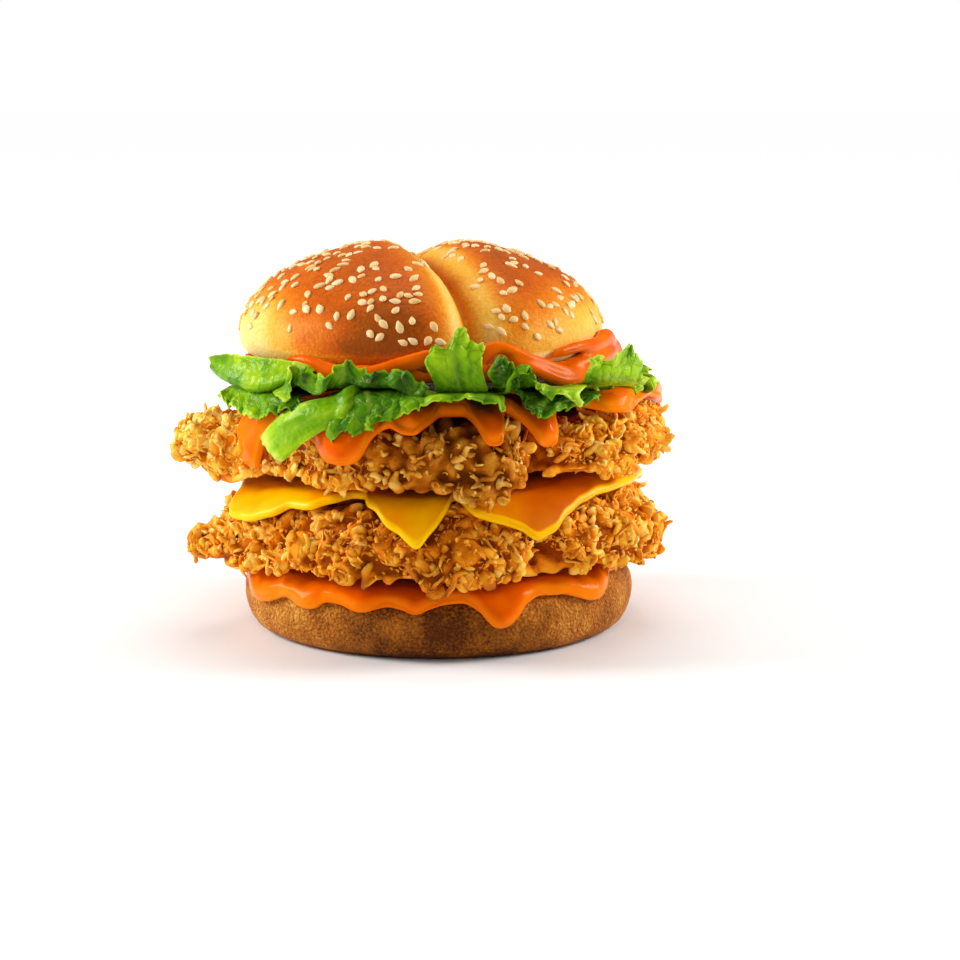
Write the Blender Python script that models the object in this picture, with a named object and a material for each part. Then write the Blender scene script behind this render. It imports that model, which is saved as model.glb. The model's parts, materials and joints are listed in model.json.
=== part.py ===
"""A tall burger: two fried chicken fillets, melted cheese, lettuce and sauce in a cleft sesame bun.

Run with: blender --background --python part.py
Sizes are written in millimetres and turned into metres as each mesh is made. The origin is on the
bun's axis, in the flat underside of its lower half. +Z is up and the shown side faces -Y.
Angles run round the bun's axis from +X, so the shown side is at -90 degrees.
"""

import math
import random

import bmesh
import bpy
import numpy as np
from mathutils import Matrix, Vector, noise

MM = 0.001
GAP = 0.3
SHEET_GAP = 0.45
LOWER_SAUCE_GAP = 0.75

# The bun's lower half
HEEL_RADIUS = 53.0
HEEL_HEIGHT = 17.0
HEEL_BASE_RADIUS = 47.5

# The bun's upper half
CROWN_RADIUS = 49.0
CROWN_CENTRE = (-4.4, 0.0)
CROWN_UNDERSIDE = 73.0
CROWN_WIDEST = 78.0
CROWN_TOP = 103.6
CLEFT_TURN = 108.0
CLEFT_DEPTH = 8.0
CLEFT_HALF_WIDTH = 13.0

# Seeds fused to the upper half
SEED_COUNT = 64
SEED_LENGTH, SEED_WIDTH, SEED_THICKNESS = 3.4, 2.2, 1.2
SEED_STAND_OFF = -0.18

# The layers between, from the bottom up
LOWER_SAUCE_THICKNESS = 1.6
LOWER_FILLET_TOP = 41.0
CHEESE_THICKNESS = 2.0
UPPER_FILLET_TOP = 63.5
MIDDLE_SAUCE_THICKNESS = 1.4
UPPER_SAUCE_THICKNESS = 1.3
UPPER_SAUCE_BEAD = 6.5
UPPER_SAUCE_CLEARANCE = 0.7

LOWER_FILLET_FLOOR = HEEL_HEIGHT + LOWER_SAUCE_THICKNESS + LOWER_SAUCE_GAP + GAP

# Each bump is (direction in degrees, height in mm, half-width in degrees)
LOWER_FILLET = {
    "radius": 56.3,
    "bumps": (
        (193, 12.0, 13), (-10, 6.5, 25), (-115, 2.0, 16), (-80, 3.0, 16), (60, 3.0, 15), (125, 4.0, 16),
    ),
    "middle": 29.0,
    "middle_bumps": ((190, -2.5, 26), (0, 0.5, 35), (90, -1.0, 30)),
    "top": LOWER_FILLET_TOP,
    "lift_bumps": ((-22, 3.5, 38), (190, -2.5, 20)),
    "sag": 5.0,
    "sag_start": 48.0,
    "sag_run": 12.0,
    "sag_bumps": ((192, -0.5, 16),),
    "fold": (-59, 10.0, 6.0),
    "crag_seed": 3.0,
}
UPPER_FILLET = {
    "radius": 55.8,
    "bumps": (
        (192, 17.5, 10.5), (-10, 6.5, 24), (-105, 2.0, 18), (-76, 3.5, 12), (70, 3.5, 16), (135, 3.5, 15),
    ),
    "middle": 52.0,
    "middle_bumps": ((192, -2.5, 20), (0, 1.5, 30), (-74, -2.0, 16)),
    "top": UPPER_FILLET_TOP,
    "lift_bumps": ((-8, 0.5, 24), (192, -4.0, 18)),
    "sag": 0.8,
    "sag_start": 52.0,
    "sag_run": 12.0,
    "sag_bumps": ((192, -4.0, 18), (-74, 2.6, 9), (-108, -1.8, 18)),
    "fold": (-59, 13.0, 6.0),
    "crag_seed": 11.0,
}
TOP_POWER = 4.4
FLOOR_POWER = 4.6
# Where the long tips start to thin, how much they thin, and the reach that makes a tip
TIP_START = 53.0
TIP_ROUNDING = 0.82
TIP_REACH = 59.0
TIP_REACH_RUN = 5.0
CRAG_SIZE = 9.5
CRAG_DEPTH = 6.0

# The height each sheet hangs down to, and how much lower its corners and drips reach
CHEESE_EDGE = 39.5
CHEESE_DROPS = (
    (-94, 9.0, 6.5), (-64, 7.5, 9), (-154, 7.5, 13), (-175, 3.0, 12), (-115, -1.0, 6), (-83, -2.5, 4),
    (-20, -1.0, 18), (28, 8.0, 10), (75, 8.5, 10), (118, 8.0, 10),
)
MIDDLE_SAUCE_EDGE = 62.0
MIDDLE_SAUCE_DROPS = (
    (-146.5, 14.0, 6), (-131, 3.0, 8), (-114, 9.0, 6.5), (-94, 2.0, 5), (-75, 5.5, 4), (-60, 6.0, 4.5),
    (-28, 2.0, 8), (12, 5.0, 8), (45, 10.0, 8), (82, 5.0, 8), (110, 9.5, 9), (150, 3.5, 9), (192, -1.2, 14),
)
LOWER_SAUCE_EDGE = 15.0
LOWER_SAUCE_DROPS = (
    (-151, 5.0, 10), (-129, 4.0, 6), (-111, 3.0, 6), (-95.5, 3.0, 4.5), (-72, 6.5, 5), (-40, 3.5, 8),
    (-5, 2.0, 10), (25, 5.5, 9), (60, 2.5, 10), (95, 6.2, 9), (130, 3.0, 10), (165, 5.0, 9),
)
UPPER_SAUCE_REACH = 48.5
UPPER_SAUCE_BUMPS = (
    (-105, 2.0, 14), (-60, 3.5, 12), (-25, 3.5, 12), (20, 1.5, 12), (70, 3.0, 12), (115, 2.0, 12),
    (165, 2.5, 12),
)

# Leaves that hang: direction, half-width in degrees, start, height of the edge
LEAF_THICKNESS = 0.8
LEAF_RUFFLE = 2.2
LEAF_RUFFLES_ROUND = 12
LEAF_JAG = 1.0
LEAF_JAGS = 9.0
LEAF_NARROWING = 0.6
LEAF_CROWDING = 0.7
HANGING_STAND_OFF = 2.8
HANGING_LEAVES = {
    "leaf_front_left_bright": (-132, 9, 28, 52.0),
    "leaf_front_left_dark": (-110, 10, 28, 58.0),
    "leaf_front_long": (-86, 12, 28, 61.5),
    "leaf_front_right_dark": (-57, 14, 28, 61.0),
    "leaf_right_low": (-4, 34, 30, 61.0),
    "leaf_back_hanging": (82, 30, 28, 57.0),
    "leaf_left_low": (158, 33, 30, 59.0),
}
# Where leaves that stick out stay level, and where and how quickly they bend up past the bun
SPREAD_LEVEL_REACH = 44.0
SPREAD_BEND_START = 51.5
SPREAD_BEND_RUN = 5.0
# Leaves that stick out: direction, half-width in degrees, stand-off, start, length, climb in degrees
SPREAD_LEAVES = {
    "leaf_left_lower": (-150, 16, 4.4, 28, 62, -20),
    "leaf_front_ruffled": (-114, 16, 4.4, 30, 61, 18),
    "leaf_right_ruffled": (-48, 16, 4.4, 30, 61, 8),
    "leaf_back_level": (66, 34, 4.4, 28, 60, -6),
    "leaf_left_pale": (-152, 25, 6.1, 28, 64, 32),
    "leaf_right_jagged": (-28, 19, 6.1, 30, 64, 32),
    "leaf_front_standing": (-85, 9, 6.1, 30, 66, 70),
    "leaf_back_raised": (126, 24, 6.1, 28, 62, 28),
}


def wrapped(degrees):
    """An angle brought between -180 and 180."""
    return (degrees + 180.0) % 360.0 - 180.0


def bumps(angle, rows):
    """The sum of rounded bumps at an angle in degrees."""
    return sum(height * math.exp(-((wrapped(angle - at) / half) ** 2)) for at, height, half in rows)


def smooth(value):
    """A smooth step from 0 to 1."""
    value = min(1.0, max(0.0, value))
    return value * value * (3.0 - 2.0 * value)


def material(name, colour, roughness):
    """A Principled BSDF of one colour."""
    made = bpy.data.materials.new(name)
    made.use_nodes = True
    shader = made.node_tree.nodes["Principled BSDF"]
    shader.inputs["Base Color"].default_value = (*colour, 1.0)
    shader.inputs["Roughness"].default_value = roughness
    shader.inputs["Metallic"].default_value = 0.0
    return made


def add_object(name, points, faces, finish):
    """A smooth-shaded object from points in millimetres."""
    mesh = bpy.data.meshes.new(name)
    mesh.from_pydata([Vector(p) * MM for p in points], [], faces)
    mesh.materials.append(finish)
    mesh.validate()
    mesh.shade_smooth()
    made = bpy.data.objects.new(name, mesh)
    bpy.context.scene.collection.objects.link(made)
    return made


def polar_solid(name, section, angles, finish, centre=(0.0, 0.0)):
    """A closed solid from one section for each angle, each a list of (radius, height) from the
    bottom pole to the top pole. Every section has the same poles and the same number of points."""
    sections = [section(angle) for angle in angles]
    rings = len(sections[0]) - 2
    points = [(centre[0], centre[1], sections[0][0][1])]
    for ring in range(1, rings + 1):
        for angle, outline in zip(angles, sections):
            radius, height = outline[ring]
            turn = math.radians(angle)
            points.append((centre[0] + radius * math.cos(turn), centre[1] + radius * math.sin(turn), height))
    points.append((centre[0], centre[1], sections[0][-1][1]))
    count, last = len(angles), len(points) - 1
    faces = []
    for i in range(count):
        j = (i + 1) % count
        faces.append((0, 1 + j, 1 + i))
        for ring in range(rings - 1):
            low, high = 1 + ring * count, 1 + (ring + 1) * count
            faces.append((low + i, low + j, high + j, high + i))
        top = 1 + (rings - 1) * count
        faces.append((top + i, top + j, last))
    return add_object(name, points, faces, finish)


def even_angles(count, start=-180.0):
    return [start + 360.0 * i / count for i in range(count)]


def heel_outline():
    """The lower bun's outline from its underside to its top, as (radius, height)."""
    side = [
        (HEEL_BASE_RADIUS, 0.0), (HEEL_RADIUS - 2.6, 1.6), (HEEL_RADIUS - 0.7, 5.0), (HEEL_RADIUS, 9.5),
        (HEEL_RADIUS - 0.7, 13.0), (HEEL_RADIUS - 2.8, 15.8), (HEEL_RADIUS - 6.0, HEEL_HEIGHT),
    ]
    return [(0.0, 0.0), *side, (0.0, HEEL_HEIGHT)]


def fillet_radius(fillet, angle):
    return fillet["radius"] + bumps(angle, fillet["bumps"])


def fillet_middle(fillet, angle):
    return fillet["middle"] + bumps(angle, fillet["middle_bumps"])


def fillet_top(fillet, angle, radius):
    """The height of the smooth upper surface."""
    rim = fillet_radius(fillet, angle)
    share = min(max(radius / rim, 0.0), 1.0)
    middle = fillet_middle(fillet, angle)
    dome = (1.0 - share**TOP_POWER) ** (1.0 / TOP_POWER)
    lift = bumps(angle, fillet["lift_bumps"]) * smooth((share - 0.35) / 0.4) * dome
    return middle + (fillet["top"] - middle) * dome + lift - fillet_sag(fillet, angle, radius)


def fillet_sag(fillet, angle, radius):
    """How far the part beyond what carries it hangs down."""
    full = fillet["sag"] + bumps(angle, fillet["sag_bumps"])
    return full * smooth((radius - fillet["sag_start"]) / fillet["sag_run"])


def fillet_floor(fillet, angle, radius):
    """What the fillet lies on, a gap below it."""
    if fillet is LOWER_FILLET:
        return LOWER_FILLET_FLOOR
    below = LOWER_FILLET
    radius = min(radius, 0.97 * fillet_radius(below, angle))
    slope = (fillet_top(below, angle, radius - 0.5) - fillet_top(below, angle, radius)) / 0.5
    upright = (CHEESE_THICKNESS + SHEET_GAP + 2 * GAP) * math.hypot(1.0, min(slope, 1.2))
    return fillet_top(below, angle, radius) + upright


def tip_thinning(fillet, angle, radius):
    """How much of its thickness the fillet keeps towards a long tip, so that the tip ends round."""
    rim = fillet_radius(fillet, angle)
    share = min(1.0, max(0.0, (radius - TIP_START) / max(rim - TIP_START, 1.0)))
    return 1.0 - smooth((rim - TIP_REACH) / TIP_REACH_RUN) * (1.0 - math.sqrt(1.0 - TIP_ROUNDING * share**2))


def skin_point(fillet, angle, turn):
    """A point on the fillet's smooth skin. Turn 90 is its top's middle and -90 its underside's."""
    c, s = max(math.cos(math.radians(turn)), 0.0), math.sin(math.radians(turn))
    radius = fillet_radius(fillet, angle) * c ** (2.0 / (TOP_POWER if s >= 0.0 else FLOOR_POWER))
    middle, sag = fillet_middle(fillet, angle), fillet_sag(fillet, angle, radius)
    if s >= 0.0:
        height = fillet_top(fillet, angle, radius)
    else:
        floor = fillet_floor(fillet, angle, radius)
        height = floor + (middle - floor) * (1.0 - (-s) ** (2.0 / FLOOR_POWER)) - sag
    centre = middle - sag
    return radius, centre + (height - centre) * tip_thinning(fillet, angle, radius)


def fillet_path(fillet, angle, steps=90, low_turn=-62.0):
    """The smooth skin's outline from the top's middle outwards and down the side: arc length,
    radius, height, and the outward normal as two arrays."""
    turns = [90.0 + (low_turn - 90.0) * i / steps for i in range(steps + 1)]
    radii, heights = np.array([skin_point(fillet, angle, turn) for turn in turns]).T
    lengths = np.concatenate([[0.0], np.cumsum(np.hypot(np.diff(radii), np.diff(heights)))])
    run, drop = np.gradient(radii, lengths), np.gradient(heights, lengths)
    size = np.hypot(run, drop)
    return lengths, radii, heights, -drop / size, run / size


def on_path(path, length, stand_off):
    """The point at an arc length along a path, moved out along the normal."""
    lengths, radii, heights, out, up = path
    values = [np.interp(length, lengths, row) for row in (radii, heights, out, up)]
    return values[0] + values[2] * stand_off, values[1] + values[3] * stand_off


def reach_down(path, height):
    """The arc length at which a path has fallen to a height."""
    lengths, heights = path[0], path[2]
    first = int(np.argmax(heights))
    return float(np.interp(-height, -heights[first:], lengths[first:]))


def crag(point, seed):
    """How deep the crust is carved at a point, from 0 to 1: low on lumps and deep between them."""
    place = Vector(point) / CRAG_SIZE + Vector((seed, 0.7 * seed, 0.0))
    nearest = noise.voronoi(place)[0][0]
    broad = 0.5 + 0.5 * noise.noise(place * 0.45)
    return min(1.0, 0.8 * nearest + 0.4 * broad)


def fillet_section(fillet, angle, turns):
    """One section of the craggy fillet, from its bottom pole to its top pole."""
    rim = fillet_radius(fillet, angle)
    fold_at, fold_depth, fold_half = fillet["fold"]
    fold = fold_depth * math.exp(-((wrapped(angle - fold_at) / fold_half) ** 2))
    outline = [skin_point(fillet, angle, turn) for turn in turns]
    carved = [outline[0]]
    for k in range(1, len(outline) - 1):
        radius, height = outline[k]
        run = outline[k + 1][0] - outline[k - 1][0]
        rise = outline[k + 1][1] - outline[k - 1][1]
        size = math.hypot(run, rise)
        out, up = rise / size, -run / size
        flank = smooth((radius / rim - 0.55) / 0.3)
        across = math.radians(angle)
        spot = (radius * math.cos(across), radius * math.sin(across), height)
        share = (0.15 + 0.85 * flank) * (0.4 + 0.6 * abs(out))
        depth = CRAG_DEPTH * crag(spot, fillet["crag_seed"]) * share
        carved.append((max(radius - out * depth - fold * flank, 1.0), height - up * depth))
    carved.append(outline[-1])
    return carved


def make_fillet(name, fillet, finish):
    turns = [-90, -88, -74, -52, -30, -14, -4, 0.5, 3, 9, 20, 38, 62, 83, 90]
    return polar_solid(name, lambda angle: fillet_section(fillet, angle, turns), even_angles(64), finish)


def sheet_section(path, inner, edge_height, thickness, flat, steps, tip_swell=1.0):
    """A sheet's section along a path: out along its underside, round its edge, and back. Its
    stations crowd beyond the flat middle, where the path bends down."""
    reach = max(reach_down(path, edge_height), flat + 3.0)
    stations = [flat + (reach - flat) * k / steps for k in range(steps + 1)]
    stations.insert(0, 0.55 * flat)
    middle_low, middle_high = on_path(path, 0.0, inner)[1], on_path(path, 0.0, inner + thickness)[1]
    under = [on_path(path, s, inner) for s in stations]
    over = []
    for s in reversed(stations[:-1]):
        swell = 1.0 + (tip_swell - 1.0) * smooth((s / reach - 0.7) / 0.25)
        over.append(on_path(path, s, inner + thickness * swell))
    edge = on_path(path, reach + 0.4 * thickness, inner + 0.5 * thickness * tip_swell)
    shoulder = on_path(path, reach, inner + 0.95 * thickness * tip_swell)
    return [(0.0, middle_low), *under, edge, shoulder, *over, (0.0, middle_high)]


def front_angles(count, crowding=0.35):
    """Angles round the axis that crowd towards the shown side."""
    made = []
    for i in range(count):
        turn = 2.0 * math.pi * i / count
        made.append(-90.0 + math.degrees(turn - crowding * math.sin(turn)))
    return made


def make_cheese(finish):
    def section(angle):
        path = fillet_path(LOWER_FILLET, angle)
        edge_height = CHEESE_EDGE - bumps(angle, CHEESE_DROPS)
        return sheet_section(path, SHEET_GAP, edge_height, CHEESE_THICKNESS, 42.0, 4)

    return polar_solid("cheese", section, front_angles(54), finish)


def make_middle_sauce(finish):
    def section(angle):
        path = fillet_path(UPPER_FILLET, angle)
        edge_height = MIDDLE_SAUCE_EDGE - bumps(angle, MIDDLE_SAUCE_DROPS)
        return sheet_section(path, SHEET_GAP, edge_height, MIDDLE_SAUCE_THICKNESS, 43.0, 4, tip_swell=1.25)

    return polar_solid("sauce_middle", section, front_angles(56), finish)


def heel_path():
    """The lower bun's outline from its top's middle outwards and down, as fillet_path gives it,
    with the normals blended round its upper edge."""
    outline = np.array(heel_outline()[:0:-1])
    lengths = np.concatenate([[0.0], np.cumsum(np.hypot(*np.diff(outline, axis=0).T))])
    fine = np.linspace(0.0, lengths[-1], 140)
    radii, heights = np.interp(fine, lengths, outline[:, 0]), np.interp(fine, lengths, outline[:, 1])
    run, drop = np.gradient(radii, fine), np.gradient(heights, fine)
    blend = 9
    kernel = np.ones(blend) / blend
    out = np.convolve(np.pad(-drop, blend // 2, mode="edge"), kernel, "valid")
    up = np.convolve(np.pad(run, blend // 2, mode="edge"), kernel, "valid")
    size = np.hypot(out, up)
    return fine, radii, heights, out / size, up / size


def make_lower_sauce(finish):
    """Sauce over the lower bun's flat top, with drips down its side."""
    path = heel_path()

    def section(angle):
        edge_height = LOWER_SAUCE_EDGE - bumps(angle, LOWER_SAUCE_DROPS)
        thickness = LOWER_SAUCE_THICKNESS
        return sheet_section(path, LOWER_SAUCE_GAP, edge_height, thickness, 45.0, 4, tip_swell=1.15)

    return polar_solid("sauce_lower", section, front_angles(52), finish)


def crown_under(radius):
    """The height of the crown's rounded underside, at a distance from its own axis."""
    flat = 0.86 * CROWN_RADIUS
    if radius <= flat:
        return CROWN_UNDERSIDE
    share = min((radius - flat) / (CROWN_RADIUS - flat), 1.0)
    return CROWN_WIDEST - (CROWN_WIDEST - CROWN_UNDERSIDE) * math.sqrt(1.0 - share * share)


def make_upper_sauce(finish):
    """A disc of sauce under the crown that swells into a bead past the crown's lower edge."""
    floor = CROWN_UNDERSIDE - GAP - UPPER_SAUCE_THICKNESS
    start = 0.82 * CROWN_RADIUS
    bead = [(-1.0, 0.0), (0.0, 0.3), (-0.2, 0.6), (-1.2, 0.8)]

    def ceiling(radius):
        return crown_under(radius) - UPPER_SAUCE_CLEARANCE if radius < CROWN_RADIUS else CROWN_WIDEST - 1.0

    def section(angle):
        reach = UPPER_SAUCE_REACH + bumps(angle, UPPER_SAUCE_BUMPS)
        outline = [(0.0, floor), (start, floor)]
        for back, rise in bead:
            outline.append((reach + back, min(floor + UPPER_SAUCE_BEAD * rise, ceiling(reach + back))))
        for inside in (0.96 * CROWN_RADIUS, 0.89 * CROWN_RADIUS):
            outline.append((inside, min(ceiling(inside), outline[-1][1])))
        return [*outline, (start - 2.0, CROWN_UNDERSIDE - GAP), (0.0, CROWN_UNDERSIDE - GAP)]

    return polar_solid("sauce_upper", section, front_angles(36), finish, CROWN_CENTRE)


def crown_point(turn, share):
    """A point on the cleft dome. share runs from 0 at its widest to 1 at its top."""
    climb = math.radians(90.0 * share)
    radius = CROWN_RADIUS * math.cos(climb)
    height = CROWN_WIDEST + (CROWN_TOP - CROWN_WIDEST) * math.sin(climb) ** 0.95
    across = radius * math.sin(math.radians(turn - CLEFT_TURN))
    closeness = max(0.0, 1.0 - abs(across) / CLEFT_HALF_WIDTH)
    depth = CLEFT_DEPTH * closeness**1.7 * (0.55 + 0.45 * share)
    return max(radius - depth * math.cos(climb), 0.0), height - depth * (0.25 + 0.75 * math.sin(climb))


def cleft_angles(count):
    """Angles that crowd towards both ends of the cleft, with one on each."""
    made = []
    for i in range(count):
        u = 360.0 * i / count
        made.append(CLEFT_TURN + u - 20.0 * math.sin(2.0 * math.radians(u)))
    return made


def crown_section(angle):
    under = [0.6, 0.86, 0.93, 0.985]
    outline = [(0.0, CROWN_UNDERSIDE)]
    outline += [(CROWN_RADIUS * share, crown_under(CROWN_RADIUS * share)) for share in under]
    notch = CROWN_RADIUS - crown_point(angle, 0.0)[0]
    for k, share in enumerate(under):
        radius, height = outline[1 + k]
        outline[1 + k] = (radius - notch * smooth((share - 0.6) / 0.4), height)
    shares = [0.0, 0.1, 0.22, 0.36, 0.51, 0.67, 0.84]
    outline += [crown_point(angle, share) for share in shares]
    return [*outline, (0.0, crown_point(CLEFT_TURN, 1.0)[1])]


def seed_places():
    """Directions and heights of the seeds, spread by the golden angle with a seeded shake."""
    shake = random.Random(7)
    places, i = [], 0
    while len(places) < SEED_COUNT:
        i += 1
        turn = (137.508 * i + shake.uniform(-9, 9)) % 360.0
        share = 1.0 - math.sqrt(i / (SEED_COUNT * 1.28)) * 0.93 + shake.uniform(-0.03, 0.03)
        share = min(0.93, max(0.06, share))
        radius = CROWN_RADIUS * math.cos(math.radians(90.0 * share))
        across = abs(radius * math.sin(math.radians(turn - CLEFT_TURN)))
        spin, tilt = shake.uniform(0, 360), shake.uniform(-10, 10)
        if across > 0.45 * CLEFT_HALF_WIDTH:
            places.append((turn, share, spin, tilt))
    return places


def dome_spot(turn, share):
    radius, height = crown_point(turn, share)
    angle = math.radians(turn)
    x, y = radius * math.cos(angle), radius * math.sin(angle)
    return Vector((CROWN_CENTRE[0] + x, CROWN_CENTRE[1] + y, height))


def seed_object(number, turn, share, spin, tilt, finish):
    """One sesame seed, a pointed flat oval sunk to a third of its thickness in the crust."""
    across = dome_spot(turn + 1.5, share) - dome_spot(turn - 1.5, share)
    along = dome_spot(turn, share + 0.015) - dome_spot(turn, share - 0.015)
    normal = across.cross(along).normalized()
    bm = bmesh.new()
    bmesh.ops.create_uvsphere(bm, u_segments=6, v_segments=3, radius=0.55)
    for vertex in bm.verts:
        x, y, z = vertex.co
        taper = 1.0 - 0.5 * (x + 0.5) ** 2
        vertex.co = (x * SEED_LENGTH, y * SEED_WIDTH * taper, z * SEED_THICKNESS)
    axes = Matrix((across.normalized(), normal.cross(across).normalized(), normal)).transposed().to_4x4()
    turned = axes @ Matrix.Rotation(math.radians(spin), 4, "Z") @ Matrix.Rotation(math.radians(tilt), 4, "Y")
    place = Matrix.Translation(dome_spot(turn, share) + normal * SEED_STAND_OFF)
    bmesh.ops.transform(bm, matrix=Matrix.Scale(MM, 4) @ place @ turned, verts=bm.verts)
    mesh = bpy.data.meshes.new(f"seed_{number}")
    bm.to_mesh(mesh)
    bm.free()
    mesh.materials.append(finish)
    return bpy.data.objects.new(f"seed_{number}", mesh)


def make_crown(crust, seed_finish):
    """The upper bun with its seeds, joined into one solid by a Boolean union."""
    crown = polar_solid("bun_crown", crown_section, cleft_angles(48), crust, CROWN_CENTRE)
    seeds = bpy.data.collections.new("seeds")
    bpy.context.scene.collection.children.link(seeds)
    for number, place in enumerate(seed_places()):
        seeds.objects.link(seed_object(number, *place, seed_finish))
    union = crown.modifiers.new("seeds", "BOOLEAN")
    union.operation = "UNION"
    union.operand_type = "COLLECTION"
    union.collection = seeds
    union.solver = "EXACT"
    bpy.context.view_layer.update()
    joined = bpy.data.meshes.new_from_object(crown.evaluated_get(bpy.context.evaluated_depsgraph_get()))
    joined.name = "bun_crown_seeded"
    crown.modifiers.clear()
    crown.data = joined
    for seed in list(seeds.objects):
        bpy.data.objects.remove(seed)
    bpy.data.collections.remove(seeds)
    joined.shade_smooth()
    joined.set_sharp_from_angle(angle=math.radians(40))
    return crown


def leaf_wave(angle, length):
    """The ruffle's height at a direction, the same for every leaf so that stacked leaves nest."""
    free = smooth((length - 46.0) / 12.0)
    return LEAF_RUFFLE * free * (0.5 + 0.5 * math.sin(math.radians(LEAF_RUFFLES_ROUND * angle)))


def leaf_side(centre, half, share, side):
    """The direction of a place on a leaf, which narrows towards its end."""
    return centre + half * side * math.sqrt(1.0 - LEAF_NARROWING * smooth((share - 0.5) / 0.5))


def leaf_jag(centre, side):
    """How much further than its middle a leaf's end reaches at a place across it."""
    return LEAF_JAG * math.sin(LEAF_JAGS * side + centre)


def hanging_spot(row, share, side):
    """A place on a leaf that follows the upper fillet's skin, in millimetres."""
    centre, half, start, edge_height = row
    angle = leaf_side(centre, half, share, side)
    path = fillet_path(UPPER_FILLET, angle, steps=60, low_turn=-40.0)
    end = reach_down(path, edge_height) + leaf_jag(centre, side)
    length = start + (end - start) * share**LEAF_CROWDING
    radius, height = on_path(path, length, HANGING_STAND_OFF + leaf_wave(angle, length))
    turn = math.radians(angle)
    return Vector((radius * math.cos(turn), radius * math.sin(turn), height))


def spread_spot(row, share, side):
    """A place on a leaf that sticks out past the fillet and climbs, in millimetres."""
    centre, half, stand_off, start, end, climb = row
    angle = leaf_side(centre, half, share, side)
    length = start + (end + leaf_jag(centre, side) - start) * share**LEAF_CROWDING
    level = fillet_top(UPPER_FILLET, angle, min(length, SPREAD_LEVEL_REACH)) + stand_off
    turn = math.radians(angle)
    past = max(0.0, length - SPREAD_BEND_START - CROWN_CENTRE[0] * math.cos(turn))
    bent = past / SPREAD_BEND_RUN
    steepness = math.radians(climb) * (0.5 * bent if bent < 1.0 else 1.0 - 0.5 / bent)
    radius = length - past + past * math.cos(steepness)
    height = level + past * math.sin(steepness) + leaf_wave(angle, length)
    return Vector((radius * math.cos(turn), radius * math.sin(turn), height))


def make_leaf(name, spot, row, finish, along=7, across=6):
    """A thin wavy leaf. Both faces are split into triangles alike."""
    grid = []
    for i in range(along):
        share = i / (along - 1)
        grid.append([spot(row, share, -1.0 + 2.0 * j / (across - 1)) for j in range(across)])
    lower, upper = [], []
    for i in range(along):
        for j in range(across):
            ahead = grid[min(i + 1, along - 1)][j] - grid[max(i - 1, 0)][j]
            aside = grid[i][min(j + 1, across - 1)] - grid[i][max(j - 1, 0)]
            normal = ahead.cross(aside).normalized()
            lower.append(grid[i][j])
            upper.append(grid[i][j] + normal * LEAF_THICKNESS)
    points, shift = [*lower, *upper], along * across
    faces = []
    for i in range(along - 1):
        for j in range(across - 1):
            a, b = i * across + j, i * across + j + 1
            c, d = a + across + 1, a + across
            faces += [(a, b, c), (a, c, d)]
            faces += [(a + shift, c + shift, b + shift), (a + shift, d + shift, c + shift)]
    rim = [j for j in range(across)]
    rim += [i * across + across - 1 for i in range(1, along)]
    rim += [(along - 1) * across + j for j in range(across - 2, -1, -1)]
    rim += [i * across for i in range(along - 2, 0, -1)]
    for k, a in enumerate(rim):
        b = rim[(k + 1) % len(rim)]
        faces.append((a, a + shift, b + shift, b))
    made = add_object(name, points, faces, finish)
    bm = bmesh.new()
    bm.from_mesh(made.data)
    bmesh.ops.recalc_face_normals(bm, faces=bm.faces)
    bm.to_mesh(made.data)
    bm.free()
    return made


def make_burger():
    crust = material("bun_crust", (0.60, 0.24, 0.05), 0.38)
    toast = material("bun_toast", (0.40, 0.17, 0.05), 0.80)
    seed = material("sesame", (0.85, 0.68, 0.42), 0.50)
    chicken = material("chicken_crust", (0.62, 0.28, 0.06), 0.55)
    cheese = material("cheese", (0.95, 0.48, 0.03), 0.35)
    sauce = material("sauce", (0.88, 0.20, 0.02), 0.22)
    leaf = material("lettuce", (0.20, 0.45, 0.05), 0.40)
    polar_solid("bun_heel", lambda angle: heel_outline(), even_angles(32), toast)
    make_lower_sauce(sauce)
    make_fillet("fillet_lower", LOWER_FILLET, chicken)
    make_cheese(cheese)
    make_fillet("fillet_upper", UPPER_FILLET, chicken)
    make_middle_sauce(sauce)
    for name, row in HANGING_LEAVES.items():
        make_leaf(name, hanging_spot, row, leaf)
    for name, row in SPREAD_LEAVES.items():
        make_leaf(name, spread_spot, row, leaf)
    make_upper_sauce(sauce)
    make_crown(crust, seed)


for old in list(bpy.data.objects):
    bpy.data.objects.remove(old)
make_burger()
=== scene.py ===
import json
import math

import bmesh
import bpy
import numpy as np
from mathutils import Matrix, Vector
from mathutils.bvhtree import BVHTree

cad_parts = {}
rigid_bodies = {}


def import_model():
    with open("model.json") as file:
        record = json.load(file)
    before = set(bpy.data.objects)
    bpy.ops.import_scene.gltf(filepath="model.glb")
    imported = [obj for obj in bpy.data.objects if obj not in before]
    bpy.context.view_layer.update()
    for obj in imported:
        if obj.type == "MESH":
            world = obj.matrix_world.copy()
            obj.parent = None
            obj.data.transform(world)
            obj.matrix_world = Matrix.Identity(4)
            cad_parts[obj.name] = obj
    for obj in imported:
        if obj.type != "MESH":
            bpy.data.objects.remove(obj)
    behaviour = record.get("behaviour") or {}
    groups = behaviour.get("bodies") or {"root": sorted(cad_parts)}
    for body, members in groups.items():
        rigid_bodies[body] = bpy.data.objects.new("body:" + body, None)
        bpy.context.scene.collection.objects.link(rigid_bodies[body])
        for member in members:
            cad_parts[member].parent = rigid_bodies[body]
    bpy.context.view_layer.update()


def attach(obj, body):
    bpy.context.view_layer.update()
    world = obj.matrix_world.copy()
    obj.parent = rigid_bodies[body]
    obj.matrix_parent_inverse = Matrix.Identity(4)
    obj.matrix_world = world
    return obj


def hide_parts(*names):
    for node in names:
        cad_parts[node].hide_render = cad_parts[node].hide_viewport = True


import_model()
mm = 0.001
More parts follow.
